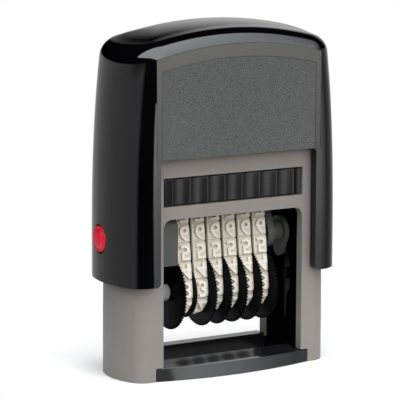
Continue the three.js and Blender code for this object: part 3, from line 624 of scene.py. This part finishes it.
# %% Cap shell
CAP_PLAN, BORE_PLAN = (50.2, 20.5, 5.2, 20), (47.6, 16.6, 3.8, 12.8)
CAP_BOTTOM, CAP_TOP, BORE_BOTTOM, BORE_TOP, OPENING_TOP = 19.3, 70, 17.4, 68.3, 44.1
RECESS_HALF, RECESS_TOP, RECESS_FACE = 18.65, 66.0, 9.23
LEG_ROUND, LEG_ROUND_X, TOP_ROUND, TOP_ROUND_X = 0.9, 18.6, 0.8, 16.9
BUTTON_Y, BUTTON_Z, BUTTON_RADIUS, BUTTON_PLAY = 1.5, 27.7, 2.6, 0.3
PAST_FRONT, PAST_SIDE = 12, 27

cap = casing("gloss_cap", CAP_PLAN, CAP_BOTTOM, CAP_TOP, shoulder=3, crown=1, taper=1.8)
# Between the legs the corners are rounded, above and at each leg's foot.
right_side = [(LEG_ROUND_X, CAP_BOTTOM - 1)]
right_side += arc(LEG_ROUND_X, CAP_BOTTOM + LEG_ROUND, LEG_ROUND, -UPRIGHT, -UPRIGHT, 6)
right_side += arc(TOP_ROUND_X, OPENING_TOP - TOP_ROUND, TOP_ROUND, 0, UPRIGHT, 6)
legs_apart = right_side + [(-x, z) for x, z in reversed(right_side)]
label_recess = arched(RECESS_HALF, OPENING_TOP, RECESS_TOP)
combine(cap, [
    casing("bore", BORE_PLAN, BORE_BOTTOM, BORE_TOP, shoulder=1.9, crown=0, taper=1.5,
           levels=8, rounding=4, dome=2),
    slab("legs_apart", legs_apart, "y", *both_ways(PAST_FRONT)),
    slab("front_recess", label_recess, "y", -PAST_FRONT, -RECESS_FACE),
    slab("rear_recess", label_recess, "y", RECESS_FACE, PAST_FRONT),
    pin("button_hole", BUTTON_Z, BUTTON_RADIUS + BUTTON_PLAY, both_ways(PAST_SIDE), 48, y=BUTTON_Y),
])
soften(cap, 0.18, angle=32, even=False)
finish(cap, "cap_black", "cap", "cap_shell")

# %% [markdown]
# ## The base
# The warm grey base stands on the paper. Its window shows the wheels, and the slot above takes the ink
# cartridge. It is made as the cap was, with a groove down each side in which the lock buttons run.

# %% Base housing
BASE_PLAN, INSIDE_PLAN, WALL = (47, 16, 3.5, 12.5), (45.4, 16, 3.5, 12.5), 1.9
BASE_TOP, INSIDE_TOP, WELL_RADIUS, WELL_FLOOR = 48.2, 40.5, 5.2, 41.7
WINDOW_HALF, WINDOW_TOP, WINDOW_ROUND = 15.9, 32.0, 1.8
SLOT_HEIGHTS, NOTCH_HALF, NOTCH_TOP = (34.5, 40.2), 17.55, 2.65
ARM_SLOT, ARM_SLOT_HALF, ARM_SLOT_FLOOR = (17.8, 20.4), 3.8, 39.5
GROOVE_RADIUS, GROOVE_END, GROOVE_FACE = 3.3, 23.2, 23.1
THROUGH, BELOW, ABOVE, PAST_BASE = both_ways(10), -1, 50, 25

base = casing("grey_base", BASE_PLAN, 0, BASE_TOP, shoulder=1.5, crown=0.3, taper=1.5)
inside = half_plan(INSIDE_PLAN, WALL, steps=(4, 6, 6))
inside += [(x, -y) for x, y in reversed(inside[1:-1])]
window = [(-WINDOW_HALF, BELOW), (WINDOW_HALF, BELOW)]
for sign, start in ((1, 0), (-1, UPRIGHT)):
    window += arc(sign * (WINDOW_HALF - WINDOW_ROUND), WINDOW_TOP - WINDOW_ROUND, WINDOW_ROUND,
                  start, UPRIGHT, 8)
groove = arc(0, GROOVE_END, GROOVE_RADIUS, math.pi, math.pi, 16)
groove += [(GROOVE_RADIUS, ABOVE), (-GROOVE_RADIUS, ABOVE)]
openings = [
    slab("inside", inside, "z", BELOW, INSIDE_TOP),
    slab("window", window, "y", *THROUGH),
    box("slot", both_ways(WINDOW_HALF), THROUGH, SLOT_HEIGHTS),
    box("foot_notch", both_ways(NOTCH_HALF), THROUGH, (BELOW, NOTCH_TOP)),
    slab("spring_well", circle(0, 0, WELL_RADIUS, 32), "z", WELL_FLOOR, ABOVE),
]
openings += [box(f"{side}_arm_slot", sided(sign, *ARM_SLOT), both_ways(ARM_SLOT_HALF),
                 (ARM_SLOT_FLOOR, ABOVE)) for side, sign in SIDES]
openings += [slab(f"{side}_groove", groove, "x", *sided(sign, GROOVE_FACE, PAST_BASE))
             for side, sign in SIDES]
combine(base, openings)
soften(base, 0.2, angle=32)
finish(base, "base_grey", "base", "base_housing")

# %% [markdown]
# ## The label
# A label lies in an arched frame plate, in front and behind. Its words are left off here, and the film keeps
# its fine speckle. Both could be painted on the cap, but then the frame would have no edge that catches the
# light. So each is a thin plate, modelled once and turned half round for the back.


# %% Label frame and label
def copy_of(piece, name):
    """A copy with its own mesh."""
    only(piece)
    bpy.ops.object.duplicate()
    copy = bpy.context.object
    copy.name = copy.data.name = name
    return copy


def mirrored_copy(piece, name):
    """The same piece behind: a copy turned half round."""
    twin = copy_of(piece, name)
    twin.rotation_euler = (0, 0, math.pi)
    bpy.ops.object.transform_apply(rotation=True)
    return twin


frame_outline = arched(half_width=18.6, bottom=OPENING_TOP, top=65.93)
bed_outline = arched(half_width=17.375, bottom=OPENING_TOP - 1, top=63.325)
film_outline = arched(half_width=17.355, bottom=OPENING_TOP, top=63.305)
frame_plate = slab("label_frame_front", frame_outline, "y", near=-10.23, far=-9.38)
bed = slab("bed", bed_outline, "y", near=-PAST_FRONT, far=-10.05)
soften(combine(frame_plate, [bed]), 0.04)
panel = slab("label_front", film_outline, "y", near=-10.2, far=-10.08)
soften(panel, 0.02)
rear_plate = mirrored_copy(frame_plate, "label_frame_rear")
rear_panel = mirrored_copy(panel, "label_rear")
for side, plate, film in (("front", frame_plate, panel), ("rear", rear_plate, rear_panel)):
    finish(plate, "cap_black", "cap", f"{side}_label_frame")
    finish(film, "label_grey", "cap", f"{side}_label_panel")

# %% [markdown]
# ## The lock buttons
# A red button sits in the hole of each leg. It is a round pad with a soft dome and a fine groove round it. A
# squashed sphere would give the dome, but neither groove nor rim. So half of the section is drawn as a line
# of points and spun about the button's axis, as on a lathe.


# %% Lock buttons
def spun(name, profile, centre, steps=64):
    """A profile of (along x, out from the axis) turned about a line along x."""
    bpy.ops.object.select_all(action="DESELECT")
    bpy.ops.mesh.primitive_plane_add(size=MM)
    piece = bpy.context.object
    piece.name = piece.data.name = name
    bpy.ops.object.mode_set(mode="EDIT")
    bpy.ops.mesh.delete(type="VERT")
    mesh = bmesh.from_edit_mesh(piece.data)
    points = [mesh.verts.new(Vector((x, centre[0], centre[1] + out)) * MM) for x, out in profile]
    for a, b in zip(points, points[1:]):
        mesh.edges.new((a, b))
    bmesh.update_edit_mesh(piece.data)
    bpy.ops.mesh.select_all(action="SELECT")
    axis_point = (0, centre[0] * MM, centre[1] * MM)
    bpy.ops.mesh.spin(steps=steps, angle=2 * math.pi, center=axis_point, axis=(1, 0, 0))
    close_up(0.001 * MM)
    return piece


FOOT_X, RIM_X, TIP_X = 24.0, 25.2, 25.7
RIM_ROUND, DOME_RADIUS, DOME_SINK = 0.25, 1.9, 0.05
pad = [(FOOT_X, 0), (FOOT_X, BUTTON_RADIUS)]
pad += [(RIM_X - RIM_ROUND + RIM_ROUND * math.sin(a), BUTTON_RADIUS - RIM_ROUND * (1 - math.cos(a)))
        for a in (0, 0.4, 0.8, 1.2, UPRIGHT)]
# The fine groove lies between the rim and the dome.
pad += [(RIM_X - 0.12, 2.05), (RIM_X - DOME_SINK, DOME_RADIUS)]
pad += [(RIM_X - DOME_SINK + (TIP_X - RIM_X + DOME_SINK) * math.sin(a), DOME_RADIUS * math.cos(a))
        for a in (0.3, 0.6, 0.9, 1.2, 1.4)]
pad += [(TIP_X, 0)]
for side, sign in SIDES:
    button = spun(f"red_button_{side}", [(sign * x, out) for x, out in pad], (BUTTON_Y, BUTTON_Z))
    soften(button, 0)
    finish(button, "button_red", f"{side}_button", f"{side}_lock_button")

# %% [markdown]
# ## The ink cartridge
# The cartridge is a tray that is drawn out of the slot. Its grip is a row of shallow flutes with sharp
# ridges between them. A bump texture could fake them, but their outline shows against the slot's edge. So
# the flutes are drawn into the tray's plan.


# %% Ink cartridge
FLUTE_PITCH, FLUTE_DEPTH, FLUTE_STEPS = 3.95, 0.62, 16
TRAY_HALF, TRAY_FACE, TRAY_HEIGHTS = 15.6, 7.95, (34.8, 39.9)
PAD_POCKET = (both_ways(13.4), both_ways(5.15), (33, 38.4))


def scoop_depth(x):
    """Steep where a flute begins at its left, then a slow rise to its right end."""
    rest = 1 - (x / FLUTE_PITCH + 0.5) % 1
    return FLUTE_DEPTH * (rest - rest ** 4)


arrises = [(k - 3.5) * FLUTE_PITCH for k in range(8)]
stops = [-TRAY_HALF, *arrises, TRAY_HALF]
edge = []
for start, end in zip(stops, stops[1:]):
    for i in range(FLUTE_STEPS):
        x = start + (end - start) * i / FLUTE_STEPS
        edge.append((x, TRAY_FACE if i == 0 and start in arrises else TRAY_FACE - scoop_depth(x)))
edge.append((TRAY_HALF, TRAY_FACE - scoop_depth(TRAY_HALF)))
tray_plan = [(x, -y) for x, y in edge] + list(reversed(edge))
cartridge = slab("fluted_cartridge", tray_plan, "z", *TRAY_HEIGHTS)
combine(cartridge, [box("pad_pocket", *PAD_POCKET)])
soften(cartridge, 0.12, angle=50)
finish(cartridge, "foot_black", "cartridge", "ink_cartridge")

# %% [markdown]
# ## The foot
# A black ring clips under the base and stands on the paper. Its front and rear bars bow outwards, and their
# faces lean back. Four bent bars could be joined at the corners. Here the plan at the floor is raised to a
# narrower plan at the top, which gives bow and lean in one step. Ends and mouth are cut afterwards.


# %% Foot frame
FOOT_HALF, BAR_END, FOOT_TOP = 17.4, 8, 2.5
MOUTH, MOUTH_FRONT, MOUTH_REAR = both_ways(15.3), -4.1, 5.3
RIB_FOOT, RIB_TOP, SLOPE_TOP, ABOVE_FOOT = 1.25, 3.5, 3.2, 5
LOW_BULGE, HIGH_BULGE = 2.2, 1.3
PAST_END, END_DEPTH, END_HEIGHTS = 19, both_ways(6.1), (1.6, ABOVE_FOOT)


def bowed(bulge, z, steps=32):
    """The foot's plan at a height, with its bars bowed by the bulge."""
    shares = [1 - 2 * i / steps for i in range(steps + 1)]
    rear = [(FOOT_HALF * share, BAR_END + bulge * (1 - share ** 2), z) for share in shares]
    return rear + [(-x, -y, z) for x, y, z in rear]


foot = raise_rings("black_foot_ring", [bowed(LOW_BULGE, 0), bowed(HIGH_BULGE, FOOT_TOP)])
slope = [(-BAR_END, RIB_FOOT), (MOUTH_FRONT, RIB_FOOT), (MOUTH_FRONT, SLOPE_TOP), (-BAR_END, FOOT_TOP)]
combine(foot, [
    box("rear_rib", MOUTH, (MOUTH_REAR, BAR_END), (RIB_FOOT, RIB_TOP)),
    slab("front_slope", slope, "x", *MOUTH),
], "UNION")
combine(foot, [
    box("mouth", MOUTH, (MOUTH_FRONT, MOUTH_REAR), (BELOW, ABOVE_FOOT)),
    box("right_end", (MOUTH[1], PAST_END), END_DEPTH, END_HEIGHTS),
    box("left_end", (-PAST_END, MOUTH[0]), END_DEPTH, END_HEIGHTS),
])
soften(foot, 0.18, angle=25)
finish(foot, "foot_black", "base", "foot_frame")

# %% [markdown]
# ## The number belts
# A number belt is a closed band of rubber, moulded with type blocks and raised digits and stretched over the
# platen above and a drum below. It could be a bent strip with a modifier along a curve. The run is two
# circles and their tangents, though, so a short rule gives every point of it.

# %% The run of a belt
RUN_TOP, RUN_AXLE, RUN_SPREAD, RUN_CORNER, RUN_DRUM = 32.7, 16.0, 1.3, 0.5, 3.85
BELT_PITCH, BELT_WIDTH, CELLS = 3.52, 2.94, 14
# Round the bends, lengths are taken in the middle of the rubber.
MID_RUBBER = 0.35

run_reach = math.hypot(RUN_SPREAD, RUN_TOP - RUN_AXLE)
run_tilt = math.asin((RUN_DRUM - RUN_CORNER) / run_reach) - math.atan2(RUN_SPREAD, RUN_TOP - RUN_AXLE)
run_straight = math.sqrt(run_reach ** 2 - (RUN_DRUM - RUN_CORNER) ** 2)
drum_end = (0, RUN_AXLE, RUN_DRUM)
corner_end = (RUN_SPREAD, RUN_TOP, RUN_CORNER)
# Each stretch has a length, a circle at its start and its end, and a direction outwards at both.
stretches = [
    ((RUN_DRUM + MID_RUBBER) * (run_tilt + UPRIGHT), drum_end, drum_end, -UPRIGHT, run_tilt),
    (run_straight, drum_end, corner_end, run_tilt, run_tilt),
    ((RUN_CORNER + MID_RUBBER) * (UPRIGHT - run_tilt), corner_end, corner_end, run_tilt, UPRIGHT),
    (RUN_SPREAD, corner_end, (0, RUN_TOP, RUN_CORNER), UPRIGHT, UPRIGHT),
]
run_length = 2 * sum(stretch[0] for stretch in stretches)
cell_length = run_length / CELLS


def run_at(share, offset):
    """The point at a share of the run, counted from the drum's bottom, so far outside its inner face."""
    share %= 1
    left = min(share, 1 - share) * run_length
    for length, start, end, turn_from, turn_to in stretches:
        if left <= length:
            break
        left -= length
    part = min(left / length, 1)
    y, z, radius = (a + (b - a) * part for a, b in zip(start, end))
    angle = turn_from + (turn_to - turn_from) * part
    y += (radius + offset) * math.cos(angle)
    z += (radius + offset) * math.sin(angle)
    return (-y if share > 0.5 else y, z)


print(f"a belt is {run_length:.1f} mm long inside, a cell {cell_length:.2f} mm")

# %% [markdown]
# The band and its blocks are one moulding. Blocks could be set on the band and melted in. Here a rectangle
# is carried round the run, low between the blocks and high along them, so that their walls come with it.


# %% One belt with its blocks
INNER_FACE, BAND_FACE, BLOCK_FACE, BLOCK_STEPS = 0.02, 0.45, 0.72, 10
# Half the gap between two blocks, as a share of a cell, and the lean of their walls in millimetres.
HALF_GAP, WALL_LEAN = 0.34 / 7, 0.05


def section(share, high, half=BELT_WIDTH / 2):
    """The belt's section at a share of the run: a rectangle from the inner face out to a height."""
    inner, outer = run_at(share, INNER_FACE), run_at(share, high)
    return [(-half, *inner), (half, *inner), (half, *outer), (-half, *outer)]


sections, draft = [], WALL_LEAN / run_length
for cell in range(CELLS):
    first, last = (cell - 0.5 + HALF_GAP) / CELLS, (cell + 0.5 - HALF_GAP) / CELLS
    sections.append(section(first - draft, BAND_FACE))
    sections += [section(first + (last - first) * i / BLOCK_STEPS, BLOCK_FACE)
                 for i in range(BLOCK_STEPS + 1)]
    sections.append(section(last + draft, BAND_FACE))
belt = raise_rings("number_belt_a", sections + sections[:1], ridge=True)
# The section where the loop closes is inside the rubber and goes.
bpy.ops.object.mode_set(mode="EDIT")
bpy.ops.mesh.select_all(action="DESELECT")
bpy.ops.mesh.select_mode(type="FACE")
bpy.ops.mesh.select_interior_faces()
bpy.ops.mesh.delete(type="FACE")
bpy.ops.mesh.select_mode(type="VERT")
close_up()
soften(belt, 0.07)
print(belt.name, len(belt.data.polygons), "faces")

# %% [markdown]
# Type is a mirror image, because it prints. A displacement map could raise the digits, but not with crisp
# edges. So each digit is a text body, cut across into strips, and all its points are laid on the run.


# %% Its digits
DIGIT_HEIGHT, DIGIT_STRETCH, DIGIT_FOOT, DIGIT_FACE, STRIPS = 2.95, 1.12, 0.66, 1.3, 8


def flat_digit(digit):
    """A digit as a flat body in strips, with its lowest and its highest point."""
    bpy.ops.object.select_all(action="DESELECT")
    bpy.ops.object.text_add(location=(0, 0, 0))
    text = bpy.context.object.data
    text.body = digit
    text.align_x = "CENTER"
    text.offset = 0.012
    text.extrude = 0.1
    text.resolution_u = 5
    bpy.ops.object.convert(target="MESH")
    glyph = bpy.context.object
    low, high = (pick(v.co.y for v in glyph.data.vertices) for pick in (min, max))
    bpy.ops.object.mode_set(mode="EDIT")
    for i in range(1, STRIPS):
        bpy.ops.mesh.select_all(action="SELECT")
        bpy.ops.mesh.bisect(plane_co=(0, low + (high - low) * i / STRIPS, 0), plane_no=(0, 1, 0))
    bpy.ops.mesh.select_all(action="SELECT")
    bpy.ops.mesh.remove_doubles(threshold=0.0005)
    bpy.ops.object.mode_set(mode="OBJECT")
    return glyph, low, high


def bend(glyph, low, high, cell):
    """Lays a flat digit on its cell of the run and turns its faces outwards again."""
    for vertex in glyph.data.vertices:
        rise = (vertex.co.y - low) / (high - low) - 0.5
        y, z = run_at((cell + rise * DIGIT_HEIGHT / cell_length) / CELLS,
                      DIGIT_FOOT if vertex.co.z < 0 else DIGIT_FACE)
        vertex.co = Vector((vertex.co.x / (high - low) * DIGIT_HEIGHT * DIGIT_STRETCH, y, z)) * MM
    only(glyph)
    bpy.ops.object.mode_set(mode="EDIT")
    close_up()
    glyph.data.materials.clear()


# The nine stands on cell 6, and the digits count down from there.
digit_of_cell = {(6 + i) % CELLS: str(9 - i) for i in range(10)}
glyphs = []
for cell, digit in digit_of_cell.items():
    glyph, low, high = flat_digit(digit)
    bend(glyph, low, high, cell)
    glyphs.append(glyph)
print(len(glyphs), "digits, the widest", round(max(g.dimensions.x for g in glyphs) / MM, 2), "mm")

# %% [markdown]
# The band is painted a little darker than the digits, as shade between the raised digits. One finish with a
# mask could do that. Two material slots are simpler, because the digits are objects of their own until they
# join the belt. Six copies follow.


# %% Six belts
def shifted_copy(piece, name, across):
    """A copy moved along x."""
    copy = copy_of(piece, name)
    bpy.ops.transform.translate(value=(across * MM, 0, 0))
    bpy.ops.object.transform_apply(location=True, rotation=False, scale=False)
    return copy


for piece in (belt, *glyphs):
    for slot in ("belt_ivory", "belt_digit"):
        piece.data.materials.append(finishes[slot])
for glyph in glyphs:
    for face in glyph.data.polygons:
        face.material_index = 1
only(belt)
for glyph in glyphs:
    glyph.select_set(True)
bpy.ops.object.join()

places = [(i - 2.5) * BELT_PITCH for i in range(6)]
belts = [shifted_copy(belt, f"numbered_belt_{i}", place) for i, place in enumerate(places, 1)]
bpy.data.objects.remove(belt)
for i, piece in enumerate(belts, 1):
    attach(piece, "die_block")
    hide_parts(f"number_belt_{i}")
print(len(belts), "belts,", len(belts[0].data.polygons), "faces each")

# %% [markdown]
# ## The setting wheels
# A setting wheel is a thin black disc with fine teeth for the finger and a drum that drives the belt. It
# could be a cylinder with a displaced rim. The teeth are straight cuts, so the whole toothed outline is
# extruded and the drum melted in. Five wheels are one model. The first has its disc on the left.


# %% Setting wheels
TOOTH_RADIUS, TOOTH_DEPTH, TEETH = 7.65, 0.52, 72
DRUM_RADIUS, FLANGE_RADIUS, WHEEL_BORE = 3.55, 5.6, 1.6
# Where they begin and end along the axle, counted from the middle of the belt.
DISC_ENDS, DRUM_ENDS, NECK_ENDS = (1.56, 1.96), (-1.47, 1.7), (1.3, 1.8)


def toothed():
    """The disc's outline. Each tooth has two points on its tip and two in the gap after it."""
    tip, gap = TOOTH_RADIUS, TOOTH_RADIUS - TOOTH_DEPTH
    outline = []
    for i in range(TEETH):
        for turn, reach in ((-0.16, tip), (0.16, tip), (0.38, gap), (0.62, gap)):
            angle = 2 * math.pi * (i + turn) / TEETH
            outline.append((reach * math.sin(angle), RUN_AXLE - reach * math.cos(angle)))
    return outline


def setting_wheel(name, sign, flange):
    """A disc on one side of its drum, and a plain flange on the other side or none."""
    disc = slab(name, toothed(), "x", *sided(sign, *DISC_ENDS))
    parts = [pin("drum", RUN_AXLE, DRUM_RADIUS, sided(sign, *DRUM_ENDS), 64)]
    if flange:
        parts.append(pin("flange", RUN_AXLE, FLANGE_RADIUS, sided(-sign, *DISC_ENDS), 64))
        parts.append(pin("neck", RUN_AXLE, DRUM_RADIUS, sided(-sign, *NECK_ENDS), 64))
    combine(disc, parts, "UNION")
    combine(disc, [pin("bore", RUN_AXLE, WHEEL_BORE, both_ways(4), 40)])
    return soften(disc, 0.05)


first_wheel = setting_wheel("wheel_model_a", -1, flange=True)
other_wheel = setting_wheel("wheel_model_b", 1, flange=False)
wheels = [shifted_copy(first_wheel, "toothed_wheel_1", places[0])]
wheels += [shifted_copy(other_wheel, f"toothed_wheel_{i}", place) for i, place in enumerate(places[1:], 2)]
for model in (first_wheel, other_wheel):
    bpy.data.objects.remove(model)
for i, piece in enumerate(wheels, 1):
    finish(piece, "wheel_black", f"wheel_{i}", f"setting_wheel_{i}")

# %% [markdown]
# ## The cheeks
# The cheeks hold the block together. Each has a plate with the pivot's boss and the axle's eye, a hub, and
# outside it a short lever with a lug that runs in the guide plate's groove. They could be cut from one
# block. The photo shows smooth round bosses, so circles and their tangents are drawn out and melted
# together. The left one is broader, for its plain grey side fills the view beside the first belt.


# %% Cheeks with their levers
PIVOT_Z, ROD_Z, LUG_Z, BOSS_RADIUS = 26, 30, 22, 3.09
PLATE, WAIST_FOOT = (11.06, 12.56), 17.2
WING = [(-5.2, 22.2), (5.2, 22.2), (5.2, 30.2), (4.2, 31.4), (-4.2, 31.4), (-5.2, 30.2)]
THROUGH_BLOCK = both_ways(20)
# Below this height and within this distance of the middle, the cheeks' plates get painted shade.
PAINTED_SHADE_BELOW, PAINTED_SHADE_WITHIN = 21.9, 12.7


def round_two(low_z, low_radius, high_z, high_radius, steps=28):
    """The outline round two circles, one above the other."""
    tilt = math.asin((low_radius - high_radius) / (high_z - low_z))
    upper = arc(0, high_z, high_radius, tilt, math.pi - 2 * tilt, steps)
    return upper + arc(0, low_z, low_radius, math.pi - tilt, math.pi + 2 * tilt, steps)


def cheek_model(side, sign, half):
    """A cheek whose waist has the given half width."""
    plate_ends = sided(sign, *PLATE)
    cheek = slab(f"smooth_cheek_{side}", round_two(PIVOT_Z, BOSS_RADIUS, ROD_Z, 1.46), "x", *plate_ends)
    waist = [(-half, WAIST_FOOT), (half, WAIST_FOOT), (half, PIVOT_Z), (-half, PIVOT_Z)]
    parts = [
        slab("waist", waist, "x", *plate_ends),
        pin("hub", PIVOT_Z, 2.1, sided(sign, 12, 15.4), 40),
        slab("lever", round_two(LUG_Z, 1.2, PIVOT_Z, BOSS_RADIUS), "x", *sided(sign, 15, 16)),
        pin("lug", LUG_Z, 0.8, sided(sign, 15.4, 16.8), 24),
    ]
    if side == "left":
        parts.append(slab("wing", WING, "x", *sided(sign, 11.1, 14.4)))
    combine(cheek, parts, "UNION")
    combine(cheek, [
        pin("pivot_bore", PIVOT_Z, 1.6, THROUGH_BLOCK, 32),
        pin("bush_seat", RUN_AXLE, 1.95, THROUGH_BLOCK, 40),
        pin("rod_bore", ROD_Z, 0.73, THROUGH_BLOCK, 24),
    ])
    return soften(cheek, 0.15)


for (side, sign), half in zip(SIDES, (1, 1.6)):
    cheek = cheek_model(side, sign, half)
    finish(cheek, "core_grey", "die_block", f"{side}_cheek", material=finishes["arm_grey"])
    # Below the wing the plate gets the wheels' black as painted shade, where its lower part lies dark among
    # the discs.
    cheek.data.materials.append(finishes["wheel_black"])
    for face in cheek.data.polygons:
        painted_shade_face = face.center.z < PAINTED_SHADE_BELOW * MM and abs(face.center.x) < PAINTED_SHADE_WITHIN * MM
        face.material_index = int(painted_shade_face)

# %% [markdown]
# ## The axle
# The wheels turn on a thin steel axle, and a light grey bush at each end sits in the cheek's eye. Five
# stacked cylinders would do. It is a turned part, so it is spun from one profile, as the buttons are.

# %% Axle with bushes
AXLE_RADIUS, BUSH_RADIUS, BUSH_BEVEL = 1.3, 1.9, 0.2
axle_profile = [
    (-13.16, 0), (-13.16, AXLE_RADIUS), (-12.56, AXLE_RADIUS), (-12.56, BUSH_RADIUS - BUSH_BEVEL),
    (-12.36, BUSH_RADIUS), (-11.1, BUSH_RADIUS), (-11.1, AXLE_RADIUS),
]
axle_profile += [(-x, out) for x, out in reversed(axle_profile)]
axle = spun("axle_with_bushes", axle_profile, (0, RUN_AXLE))
soften(axle, 0.04)
finish(axle, "steel", "die_block", "wheel_axle", material=finishes["axle_grey"])

# %% [markdown]
# ## The return spring
# A steel spring lifts the cap again after each print. A screw modifier could wind it, with even turns from
# end to end. On a real spring the first and the last turn lie almost flat, so that it stands level. So a
# small circle of points is carried along a coil whose climb changes there.


# %% Return spring
spring_low, spring_high = (corner[2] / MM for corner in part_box("return_spring"))
spring_length = spring_high - spring_low
COIL_RADIUS, WIRE_RADIUS, TURNS, END_CLIMB = 4.2, 0.4, 7, 0.95
TURN_STEPS, WIRE_POINTS, CAP_TRAVEL = 24, 10, 17.4


def coil_height(turn):
    """Height of the wire's middle: two closed turns at the ends and even ones between."""
    whole = spring_length - 2 * WIRE_RADIUS
    even = (whole - 2 * END_CLIMB) / (TURNS - 2)
    raised = min(turn, 1) * END_CLIMB + min(max(turn - 1, 0), TURNS - 2) * even
    return spring_low + WIRE_RADIUS + raised + max(turn - TURNS + 1, 0) * END_CLIMB


def wire_ring(turn):
    """The wire's section after so many turns."""
    angle = 2 * math.pi * turn
    ring = []
    for round_wire in (2 * math.pi * k / WIRE_POINTS for k in range(WIRE_POINTS)):
        out = COIL_RADIUS + WIRE_RADIUS * math.cos(round_wire)
        ring.append((out * math.cos(angle), out * math.sin(angle),
                     coil_height(turn) + WIRE_RADIUS * math.sin(round_wire)))
    return ring


wire_rings = [wire_ring(step / TURN_STEPS) for step in range(TURN_STEPS * TURNS + 1)]
spring = raise_rings("coiled_return_spring", wire_rings)
for face in spring.data.polygons:
    face.use_smooth = True
finish(spring, "steel", "base", "return_spring")
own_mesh(spring)
print("the spring is", round(spring_length, 2), "mm long and keeps", round(spring_length - CAP_TRAVEL, 2))
